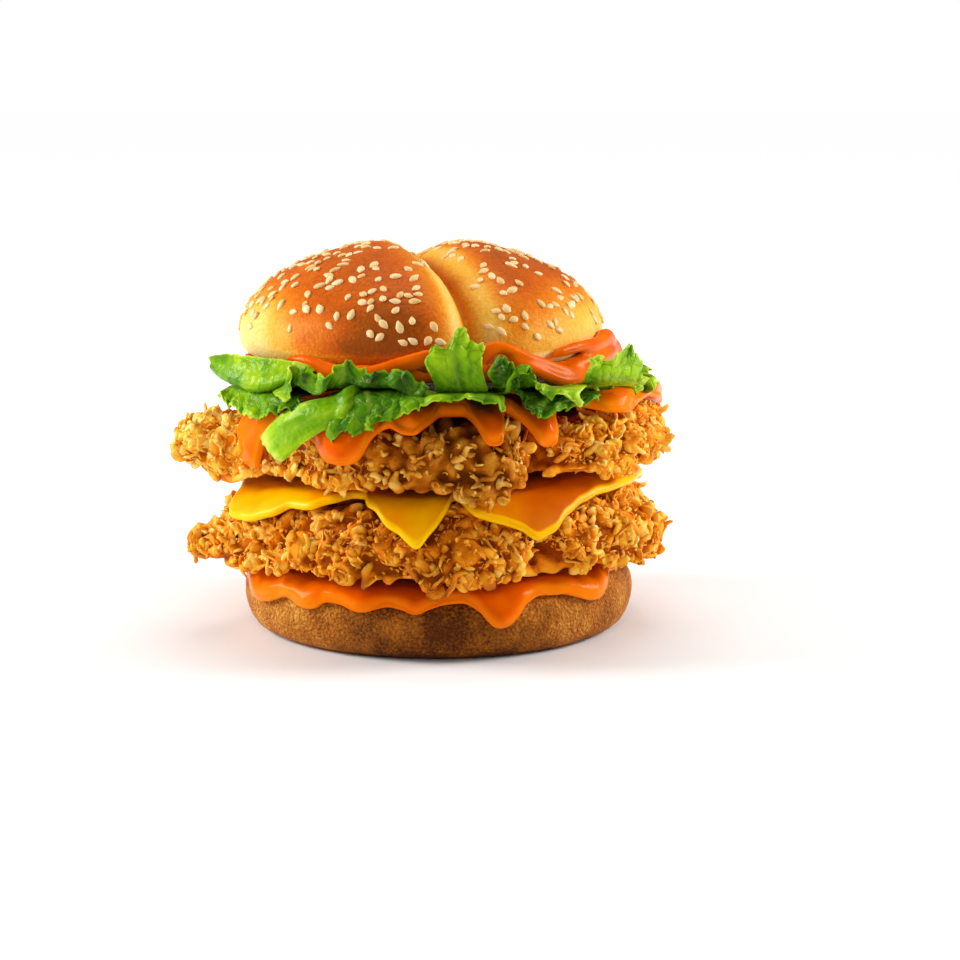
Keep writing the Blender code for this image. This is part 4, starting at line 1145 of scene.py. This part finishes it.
def hangingSpot(row, side, share):
    around = np.arange(-180.0, 180.0, 2.0)
    reach = fallTo(upperSkin, around, np.full(len(around), row[3]))
    angle = spread(row, 0.0, side, share)[0]
    angle, length = spread(row, np.interp(wrapped(angle), around, reach, period=360.0), side, share)
    return placed(angle, *onSkin(upperSkin, angle, length, leafLook["standOff"] + leafWave(angle, length)))


def spreadSpot(row, side, share):
    angle, length = spread(row, row[3], side, share)
    standOff, climb = row[4:]
    level = topOf(upperFillet, angle, np.minimum(length, 44.0)) + standOff
    past = np.maximum(0.0, length - 51.5 - crown["centre"][0] * np.cos(np.radians(angle)))
    bent = past / 5.0
    steep = math.radians(climb) * np.where(bent < 1.0, 0.5 * bent, 1.0 - 0.5 / np.maximum(bent, 1e-6))
    height = level + past * np.sin(steep) + leafWave(angle, length)
    return placed(angle, length - past + past * np.cos(steep), height)


def netSpot(rows, side, share):
    # a smooth surface through the net's points, with a hidden root under the upper bun
    net = np.array(rows)
    root = net[0] * (1.0, 1.0, 0.0)
    root = root * leafLook["rootRadius"] / np.linalg.norm(root, axis=1, keepdims=True)
    root[:, 2] = leafLook["rootHeight"]
    wide = np.stack([rounded(row, side.shape[1]) for row in (root, *net)])
    return np.stack([rounded(wide[:, k], side.shape[0]) for k in range(side.shape[1])], axis=1)


def unit(vectors):
    return vectors / (np.linalg.norm(vectors, axis=2, keepdims=True) + 1e-9)


def runOf(grid, axis):
    # the length run along the grid's rows or columns
    steps = np.linalg.norm(np.diff(grid, axis=axis), axis=2)
    return np.insert(np.cumsum(steps, axis=axis), 0, 0.0, axis=axis)


def normalOf(grid):
    return unit(np.cross(np.gradient(grid, axis=0), unit(np.gradient(grid, axis=1))))


def slabFaces(along, across):
    # two grids of points, closed round their edge
    index = np.arange(along * across).reshape(along, across)
    a, b, c, d = (part.ravel() for part in (index[:-1, :-1], index[:-1, 1:], index[1:, 1:], index[1:, :-1]))
    loop = np.concatenate([index[0, :], index[1:, -1], index[-1, -2::-1], index[-2:0:-1, 0]])
    after, shift = np.roll(loop, -1), along * across
    return np.concatenate([np.stack([a, b, c, d], 1), np.stack([a, d, c, b], 1) + shift,
                           np.stack([loop, loop + shift, after + shift, after], 1)])


def makeLeaf(node, row, spot, look, seed):
    leftTone, rightTone, ruffle, fold, teeth, toothSize, crinkles = look
    along, across = leafLook["along"], leafLook["across"]
    share, side = np.meshgrid(np.linspace(0.0, 1.0, along), np.linspace(-1.0, 1.0, across), indexing="ij")
    grid = spot(row, side, share)
    u = runOf(grid[[int(0.8 * along)]], 1) + 0.0 * share
    u = u - 0.5 * u[:, -1:]
    v = runOf(grid, 0)
    flat = np.stack([u, v, 0 * u + seed * 11.0], axis=2)
    # toothed edges, along the surface
    rim = np.stack([u, 0 * u, 0 * u + seed * 7.0], axis=2)
    tooth = u / toothSize + 0.6 * layeredNoise(rim, 7.0, seed + 12)
    tooth = 1.0 - np.abs(2.0 * (tooth - np.floor(tooth)) - 1.0)
    jag = 0.6 * tooth**1.4 + 1.3 * layeredNoise(rim, 6.0, seed) + 0.7 * layeredNoise(rim, 2.2, seed + 3) - 0.6
    ahead, aside = unit(np.gradient(grid, axis=0)), unit(np.gradient(grid, axis=1))
    grid = grid + ahead * (teeth * jag * smooth((share - 0.6) / 0.4))[..., None]
    edgeRow = np.stack([v, np.sign(side) * 9.0, 0 * v + seed * 5.0], axis=2)
    ragged = 0.45 * teeth * layeredNoise(edgeRow, 2.4, seed + 8) * np.abs(side) ** 6 * np.sign(side)
    grid = grid + aside * (ragged * smooth((share - 0.4) / 0.3))[..., None]
    # ruffles towards the free edges, crinkles and folds
    free = 0.6 * smooth((np.abs(side) - 0.6) / 0.4) * smooth((share - 0.4) / 0.3)
    free = np.maximum(smooth((share - 0.45) / 0.55), free)
    near, after = cellNoise(flat, leafLook["crinkleSize"], seed)
    quilt = smooth((after - near) / 0.5)
    aside, normal = unit(np.gradient(grid, axis=1)), normalOf(grid)
    outward = unit(grid * (1.0, 1.0, 0.0)) + np.array([0.0, 0.0, 1.0])
    turned = 1.0 if np.mean((normal * outward).sum(axis=2)) > 0 else -1.0
    phase = 2 * math.pi * (u / fold + 0.45 * layeredNoise(flat, 14.0, seed + 5)) + seed
    swing = ruffle * free
    push = swing * (np.sin(phase) + 0.6) + 0.6 * swing * layeredNoise(flat, 5.0, seed + 1)
    frill = 0.45 * min(ruffle, 1.2) * smooth((share - 0.72) / 0.28)
    push = push + frill * np.sin(2.7 * phase + 4.0 * layeredNoise(flat, 5.0, seed + 2))
    push = push + leafLook["crinkle"] * crinkles * (quilt - 0.5) * (0.4 + free)
    slide = leafLook["foldOver"] * swing * np.sin(2.0 * phase)
    grid = grid + normal * turned * push[..., None] + aside * slide[..., None]
    reached = np.hypot(grid[..., 0], grid[..., 1])
    grid[..., :2] *= (1.0 - np.maximum(reached - leafLook["farthest"], 0.0) * 0.7 / reached)[..., None]
    # veins, thickness and tone; the tone holds painted highlight on the edges and ruffle crests, and painted
    # shade in ruffle troughs, crinkle hollows, near the root and underneath
    midrib = bell(u + 1.5 * layeredNoise(flat, 12.0, seed + 4), 0.0, leafLook["midrib"]) * (1.0 - 0.6 * share)
    branch = (v + 0.9 * np.abs(u) + 2.0 * layeredNoise(flat, 9.0, seed + 6)) / leafLook["veinSpacing"]
    ribs = bell(np.abs(branch - np.round(branch)) * leafLook["veinSpacing"], 0.0, leafLook["rib"])
    vein = 0.6 * midrib + 0.4 * crinkles * ribs * (1.0 - 0.5 * share)
    vein = np.clip(vein + 0.3 * crinkles**3 * bell(after, near, leafLook["veinlet"]), 0.0, 1.0)
    rimmed = smooth((np.abs(side) - 0.92) / 0.08) * smooth((share - 0.3) / 0.2)
    rimmed = np.maximum(smooth((share - 0.92) / 0.08), rimmed)
    thick = leafLook["thickness"] * (1.0 + 1.2 * midrib + 0.3 * ribs)
    thick = thick + (leafLook["edgeThickness"] - thick) * rimmed
    tone = leftTone + (rightTone - leftTone) * (0.5 + 0.5 * side)
    tone = tone + leafLook["patches"] * layeredNoise(flat, 8.0, seed + 7)
    tone = tone + leafLook["streaks"] * layeredNoise(flat * (1.0, 0.22, 1.0), 2.6, seed + 9)
    tone = tone + leafLook["ruffleTone"] * np.sin(phase) * free + leafLook["rimTone"] * rimmed
    tone = tone - leafLook["crinkleShade"] * crinkles * (1.0 - quilt)
    tone = tone - leafLook["rootShade"] * (1.0 - smooth((share - 0.3) / 0.4))
    shift = normalOf(grid) * turned * 0.5 * thick[..., None]
    faces = slabFaces(along, across)
    if turned < 0:
        faces = faces[:, ::-1]
    values = {"tone": np.stack([tone - leafLook["undersideShade"], tone]), "vein": np.stack([vein, vein])}
    first, *words = node.split("_")
    name = first + "".join(word.title() for word in words)
    piece = meshPiece(name, np.stack([grid - shift, grid + shift]), faces.tolist(), lettuce, values)
    dress(piece, node, "lettuce")


for leaves, spot, firstSeed in (
    (netLeaves, netSpot, 20), (hangingLeaves, hangingSpot, 40), (spreadLeaves, spreadSpot, 60),
):
    for number, (node, row) in enumerate(leaves.items()):
        makeLeaf(node, row, spot, netLooks.get(node, plainLook), firstSeed + number)
print("lettuce made")


crust = {
    "inset": 3.6, "broad": 1.4, "broadSize": 12.0, "innerRadius": 37.0, "outerRadius": 46.0,
    "grainSize": 1.6, "grain": 0.3, "voxel": 0.95, "softLimit": 0.35, "smoothings": 6,
    "tone": 0.3, "depthShade": 0.06, "bulgeShading": 0.5, "patches": 0.1,
}
lumps = {
    "closest": 4.2, "density": 0.1, "smallest": 0.65, "largest": 1.4, "lean": 28.0, "tilt": 28.0, "spin": 60.0,
    "rise": 0.4,
    # half-width, half-length, half-thickness, sideways bend
    "shapes": ((2.6, 4.2, 2.0, 0.5), (2.0, 5.2, 1.8, -0.7), (3.2, 3.4, 2.2, 0.3), (1.8, 4.6, 1.6, 0.9)),
}
crumbs = {
    "closest": 1.35, "density": 1.7, "smallest": 0.42, "largest": 1.95, "lean": 24.0, "tilt": 48.0,
    "spin": 85.0, "rise": 0.05, "tone": 0.52, "spread": 0.34, "upTone": 0.32, "patches": 0.12,
    # curled chips, strips, beads and drips: half-width, half-length, half-thickness, sideways bend, cup, taper
    "shapes": ((1.1, 1.7, 0.36, 0.6, 0.6, 0.0), (0.75, 2.3, 0.4, -1.0, 0.8, 0.1),
               (1.5, 1.6, 0.3, 0.4, 0.8, 0.0), (1.0, 1.1, 0.6, 0.0, 0.0, 0.0),
               (1.0, 1.9, 0.42, 0.5, -0.4, 0.3), (0.7, 1.5, 0.4, 0.8, 0.5, 0.0),
               (1.8, 1.3, 0.3, 0.3, 0.9, 0.1), (1.1, 1.3, 0.42, -0.5, 0.4, 0.15)),
}


def lumpShapes():
    # broad folds of batter
    base, faces = roundShape(12, 8)
    for k, (wide, length, thick, bend) in enumerate(lumps["shapes"]):
        points = base * (1.0 + 0.3 * layeredNoise(base, 0.9, 30 + k)[:, None]) * (wide, length, thick)
        points[:, 0] += bend * (points[:, 1] / length) ** 2
        yield points, faces


def crumbShapes():
    base, faces = roundShape(7, 9)
    base = base[:, (0, 2, 1)] * (1.0, 1.0, -1.0)
    for k, (wide, length, thick, bend, cup, taper) in enumerate(crumbs["shapes"]):
        along = np.sign(base[:, 1]) * np.abs(base[:, 1]) ** 1.15
        blunt = np.maximum(1.0 - base[:, 1] ** 2, 1e-6) ** -0.25
        uneven = 1.0 + 0.22 * layeredNoise(base, 0.9, 50 + k)
        across, up = base[:, 0] * blunt * uneven, base[:, 2] * blunt
        x = across * wide * (1.0 - taper * along) + bend * along**2 + 0.28 * np.sin(3.6 * along + k)
        z = up * thick + cup * (along**2 - 0.3) + 0.28 * np.sin(4.2 * along + 2 * k) - 0.35 * wide * across**2
        twist = 0.6 * along * (-1.0) ** k
        x, z = x * np.cos(twist) - z * np.sin(twist), x * np.sin(twist) + z * np.cos(twist)
        yield np.stack([x, along * length, z], axis=1), faces


def makeScatterTree(name, keepsBase, byValue):
    floats = ("Closest", "Density", "Smallest", "Largest", "Lean", "Tilt", "Spin", "Rise", "Inner radius",
              "Outer radius")
    kinds = {"Shapes": "Collection", "Finish": "Material", **dict.fromkeys(floats, "Float"), "Seed": "Int"}
    tree, given, out = newGeoTree(name, kinds)
    spot = addNode(tree, "GeometryNodeInputPosition").outputs[0]
    place = addNode(tree, "ShaderNodeSeparateXYZ", {0: spot}).outputs
    flat = addNode(tree, "ShaderNodeCombineXYZ", {"X": place[0], "Y": place[1]})
    radius = addNode(tree, "ShaderNodeVectorMath", {0: flat.outputs[0]}, operation="LENGTH").outputs["Value"]
    weight = addNode(tree, "ShaderNodeMapRange", {
        "Value": radius, "From Min": given["Inner radius"], "From Max": given["Outer radius"]}).outputs[0]
    if byValue:
        cover = addNode(tree, "GeometryNodeInputNamedAttribute", {"Name": "cover"}, data_type="FLOAT")
        weight = mathNode(tree, "MULTIPLY", weight, cover.outputs[0])
    points = addNode(tree, "GeometryNodeDistributePointsOnFaces", {
        "Mesh": given["Geometry"], "Distance Min": given["Closest"], "Density Max": given["Density"],
        "Density Factor": weight, "Seed": given["Seed"]}, distribute_method="POISSON")
    normal = points.outputs["Normal"]
    rise = addNode(tree, "ShaderNodeVectorMath", {0: normal, "Scale": given["Rise"]}, operation="SCALE")
    moved = addNode(tree, "GeometryNodeSetPosition", {
        "Geometry": points.outputs["Points"], "Offset": rise.outputs[0]})
    facing = addNode(tree, "FunctionNodeAlignRotationToVector", {"Vector": normal}, axis="Z", pivot_axis="AUTO")
    upright = addNode(tree, "FunctionNodeAlignRotationToVector", {
        "Rotation": facing.outputs[0], "Vector": (0.0, 0.0, 1.0)}, axis="Y", pivot_axis="Z")
    limits = {axis: given[label] for axis, label in (("X", "Lean"), ("Y", "Tilt"), ("Z", "Spin"))}
    highs = addNode(tree, "ShaderNodeCombineXYZ", limits)
    lows = addNode(tree, "ShaderNodeVectorMath", {0: highs.outputs[0], "Scale": -1.0}, operation="SCALE")
    lean = randomNode(tree, "FLOAT_VECTOR", lows.outputs[0], highs.outputs[0], given["Seed"])
    leant = addNode(tree, "FunctionNodeEulerToRotation", {"Euler": lean})
    turned = addNode(tree, "FunctionNodeRotateRotation", {
        "Rotation": upright.outputs[0], "Rotate By": leant.outputs[0]}, rotation_space="LOCAL")
    chance = randomNode(tree, "FLOAT", 0.0, 1.0, mathNode(tree, "ADD", given["Seed"], 3.0))
    size = addNode(tree, "ShaderNodeMapRange", {
        "Value": mathNode(tree, "POWER", chance, 2.2), "To Min": given["Smallest"], "To Max": given["Largest"]})
    real = copiesOnPoints(tree, given, moved.outputs[0], turned.outputs[0], size.outputs[0], (0.0, 1.0), 9.0)
    if keepsBase:
        joined = addNode(tree, "GeometryNodeJoinGeometry", {0: given["Geometry"]})
        tree.links.new(real, joined.inputs[0])
        real = joined.outputs[0]
    return finishTree(tree, given, out, real)


lumpTree = makeScatterTree("batterLumps", True, False)
crumbTree = makeScatterTree("crustCrumbs", False, True)


def filletShell(name, fillet, inset, angleCount, turnCount, folded):
    angles = evenAngles(angleCount)
    t = np.linspace(-1.0, 1.0, turnCount)
    turns = 90.0 * np.sign(t) * np.abs(t) ** 1.5
    radius, height = (np.array(rows) for rows in zip(*(sectionOf(fillet, angle, turns) for angle in angles)))
    radius[:, [0, -1]] = 0.0
    run, rise = np.gradient(radius, axis=1), np.gradient(height, axis=1)
    size = np.hypot(run, rise) + 1e-9
    out, up = rise / size, -run / size
    flank = smooth((radius / rimOf(fillet, angles)[:, None] - 0.5) / 0.3)
    fold, sunk = 0.0, inset
    if folded:
        fold = bumps(angles, (fillet["fold"],))[:, None] * flank
        spot = placed(angles[:, None], radius, height)
        sunk = inset + crust["broad"] * layeredNoise(spot, crust["broadSize"], fillet["seed"], 2) * flank
    newRadius = np.maximum(radius - out * sunk - fold, 0.0)
    newHeight = height - up * sunk
    newRadius[:, [0, -1]] = 0.0
    newHeight[:, [0, -1]] = newHeight[0, [0, -1]]
    return polarPiece(name, angles, newRadius, newHeight, chickenBatter)


def batterShare(angle, points, fillet):
    # where the smoother, browner batter shows at the front
    share = bumps(angle, ((-98, 0.35, 24),)) * smooth((points[:, 2] - 15.0) / 10.0)
    if fillet is upperFillet:
        share = np.exp(-((wrapped(angle + 88.0) / 23.0) ** 4))
    return np.clip(share + 0.15 * layeredNoise(points, 5.0, 22), 0, 1)


def neighbourMean(edges, values, count):
    total = np.zeros((count, values.shape[1]))
    both = np.concatenate([edges, edges[:, ::-1]])
    for k in range(values.shape[1]):
        total[:, k] = np.bincount(both[:, 0], weights=values[both[:, 1], k], minlength=count)
    return total / np.maximum(np.bincount(both[:, 0], minlength=count), 1)[:, None]


def scatterValues(kit, finish, look, seed):
    return {
        "Shapes": kit, "Finish": finish, "Seed": seed, "Closest": look["closest"] * mm,
        "Density": look["density"] / mm**2, "Smallest": look["smallest"], "Largest": look["largest"],
        "Lean": math.radians(look["lean"]), "Tilt": math.radians(look["tilt"]),
        "Spin": math.radians(look["spin"]),
        "Rise": look["rise"] * mm, "Inner radius": crust["innerRadius"] * mm,
        "Outer radius": crust["outerRadius"] * mm,
    }


def makeCrust(name, node, fillet):
    shell = filletShell(name + "Shell", fillet, crust["inset"], 200, 56, True)
    kit = makeKit("lumpShape", lumpShapes())
    applyTree(shell, lumpTree, scatterValues(kit, chickenBatter, lumps, fillet["seed"]))
    merge = shell.modifiers.new("merge", "REMESH")
    merge.mode, merge.voxel_size = "VOXEL", crust["voxel"] * mm
    piece = plainMesh(shell, name, chickenBatter)
    dropKit(kit)
    mesh = piece.data
    points, normals = meshPoints(mesh), pointRows(mesh, "normal")
    points = points + normals * (crust["grain"] * layeredNoise(points, crust["grainSize"], 4, 2))[:, None]
    angle = np.degrees(np.arctan2(points[:, 1], points[:, 0]))
    sheet = cheeseLook if fillet is lowerFillet else middleSauceLook  # the sheet that lies on this fillet
    below = 1.0 - smooth((points[:, 2] - through(angle, sheet["edge"]) + 1.2) / 1.5)
    # the crust stays inside the skin
    skin = filletShell(name + "Skin", fillet, 0.0, 300, 90, False)
    corners = [tuple(v.co) for v in skin.data.vertices]
    surface = BVHTree.FromPolygons(corners, [tuple(p.vertices) for p in skin.data.polygons])
    bpy.data.objects.remove(skin)
    away, facing = np.empty(len(points)), np.empty((len(points), 3))
    for k, point in enumerate(points * mm):
        place, facing[k] = surface.find_nearest(point)[:2]
        away[k] = (Vector(point) - place).dot(Vector(facing[k])) / mm
    limited = -crust["softLimit"] * np.logaddexp(0.0, -away / crust["softLimit"])
    points = points + facing * (limited - away)[:, None]
    mesh.vertices.foreach_set("co", (points * mm).astype(np.float32).ravel())
    edges = np.empty(len(mesh.edges) * 2, dtype=np.int32)
    mesh.edges.foreach_get("vertices", edges)
    mean = points
    for _ in range(crust["smoothings"]):
        mean = neighbourMean(edges.reshape(-1, 2), mean, len(points))
    bulge = ((points - mean) * normals).sum(axis=1)
    # painted shade in hollows and painted highlight on bulges, with random patches and the fillet's painted
    # shade rows
    tone = crust["tone"] + crust["depthShade"] * limited + crust["bulgeShading"] * bulge
    tone = tone + crust["patches"] * layeredNoise(points, 6.0, 21)
    tone = np.clip(tone + bumps(angle, fillet["shade"]), 0, 1)
    batter = batterShare(angle, points, fillet)
    # flakes grow outside and below the sheet
    outside = smooth((np.hypot(points[:, 0], points[:, 1]) / rimOf(fillet, angle) - 0.72) / 0.15)
    patchy = 0.75 + 0.5 * layeredNoise(points, 9.0, 27)
    cover = outside * below * (facing[:, 2] > -0.75) * (1.0 - fillet["bare"] * batter) * patchy
    keepValues(mesh, {"proud": tone, "batter": batter, "cover": cover})
    dress(piece, node, "chicken_crust")
    print(name, "faces", len(mesh.polygons))
    return piece


def makeCrumbs(name, node, base, fillet):
    carrier = newPiece(name + "Carrier", base.data.copy(), chickenBatter)
    kit = makeKit("crumbShape", crumbShapes())
    applyTree(carrier, crumbTree, scatterValues(kit, chickenCrust, crumbs, fillet["seed"] + 40))
    piece = plainMesh(carrier, name, chickenCrust)
    dropKit(kit)
    mesh, points = piece.data, meshPoints(piece.data)
    tone, up = np.empty((2, len(points)), dtype=np.float32)
    mesh.attributes["tone"].data.foreach_get("value", tone)
    mesh.attributes["up"].data.foreach_get("value", up)
    angle = np.degrees(np.arctan2(points[:, 1], points[:, 0]))
    # chips are lighter on their outer side and darker below as painted light and shade; spread and patches vary
    # at random
    proud = crumbs["tone"] + crumbs["spread"] * (tone - 0.5) + crumbs["upTone"] * up
    proud = proud + crumbs["patches"] * layeredNoise(points, 9.0, 31)
    proud = np.clip(proud + bumps(angle, fillet["shade"]), 0, 1)
    keepValues(mesh, {"proud": proud, "batter": batterShare(angle, points, fillet)})
    dress(piece, node, "chicken_crust")
    print(name, "faces", len(mesh.polygons))


for name, node, fillet in (
    ("filletLower", "fillet_lower", lowerFillet), ("filletUpper", "fillet_upper", upperFillet),
):
    makeCrumbs(name + "Crumbs", node, makeCrust(name, node, fillet), fillet)
print("crusts grown")


studio = {
    "world": 0.2, "backdrop": 1.0, "floor": (246, 247, 248), "floorPatches": (250, 249, 247), "glow": 0.8,
    "glowStart": 0.12, "glowRun": 0.5,
    # place, power, size
    "lights": {
        "softLeft": ((-0.56, 0.0, 0.3), 3.9, 0.26), "softRight": ((0.56, 0.04, 0.3), 3.4, 0.26),
        "softTop": ((0.02, 0.1, 0.62), 1.5, 0.4), "softFront": ((-0.1, -0.75, 0.42), 1.0, 0.4),
    },
    "lens": 100.0, "distance": 0.7267, "elevation": 10.5, "target": (0.0114, 0.0, 0.038),
}


def makeStudio():
    corners = np.array([(-1, -1, 0), (1, -1, 0), (1, 1, 0), (-1, 1, 0)]) * 3000.0 - (0.0, 0.0, 0.2)
    material, tree, shader = newMaterial("paleFloor", {"Roughness": 0.6, "Emission Strength": studio["glow"]})
    patches = mathNode(tree, "ADD", useGroup(tree, patchesGroup, 30.0, 0.02), 0.5)
    shade = mixPaint(tree, patches, paint(*studio["floor"]), paint(*studio["floorPatches"]))
    tree.links.new(shade, shader.inputs["Base Color"])
    # the floor glows away from the burger, so that it meets the backdrop without a line
    where = addNode(tree, "ShaderNodeTexCoord").outputs["Object"]
    away = addNode(tree, "ShaderNodeVectorMath", {0: where}, operation="LENGTH").outputs["Value"]
    past = mathNode(tree, "SUBTRACT", away, studio["glowStart"])
    past = mathNode(tree, "DIVIDE", past, studio["glowRun"], True)
    tree.links.new(mixPaint(tree, past, (0.0, 0.0, 0.0), (1.0, 1.0, 1.0)), shader.inputs["Emission Color"])
    meshPiece("floor", corners, [(0, 1, 2, 3)], material)
    world = scene.world = bpy.data.worlds.new("studio")
    world.use_nodes = True
    tree = world.node_tree
    seen = addNode(tree, "ShaderNodeLightPath").outputs["Is Camera Ray"]
    brighter = mathNode(tree, "MULTIPLY", seen, studio["backdrop"] - studio["world"])
    background = tree.nodes["Background"].inputs
    background["Color"].default_value = (1.0, 1.0, 1.0, 1.0)
    tree.links.new(mathNode(tree, "ADD", brighter, studio["world"]), background["Strength"])
    for name, (place, power, size) in studio["lights"].items():
        light = bpy.data.lights.new(name, "AREA")
        light.energy, light.size = power, size
        lamp = bpy.data.objects.new(name, light)
        lamp.location = place
        lamp.rotation_euler = (Vector((0, 0, 0.05)) - lamp.location).to_track_quat("-Z", "Y").to_euler()
        scene.collection.objects.link(lamp)
    data = bpy.data.cameras.new("camera")
    data.lens, data.sensor_width = studio["lens"], 36.0
    data.clip_start, data.clip_end = 0.01, 20.0
    camera = scene.camera = bpy.data.objects.new("camera", data)
    rise = math.radians(studio["elevation"])
    back = Vector((0.0, -math.cos(rise), math.sin(rise))) * studio["distance"]
    camera.location = Vector(studio["target"]) + back
    camera.rotation_euler = (math.pi / 2 - rise, 0.0, 0.0)
    scene.collection.objects.link(camera)
    scene.view_settings.view_transform = "Standard"


makeStudio()
print("studio ready")
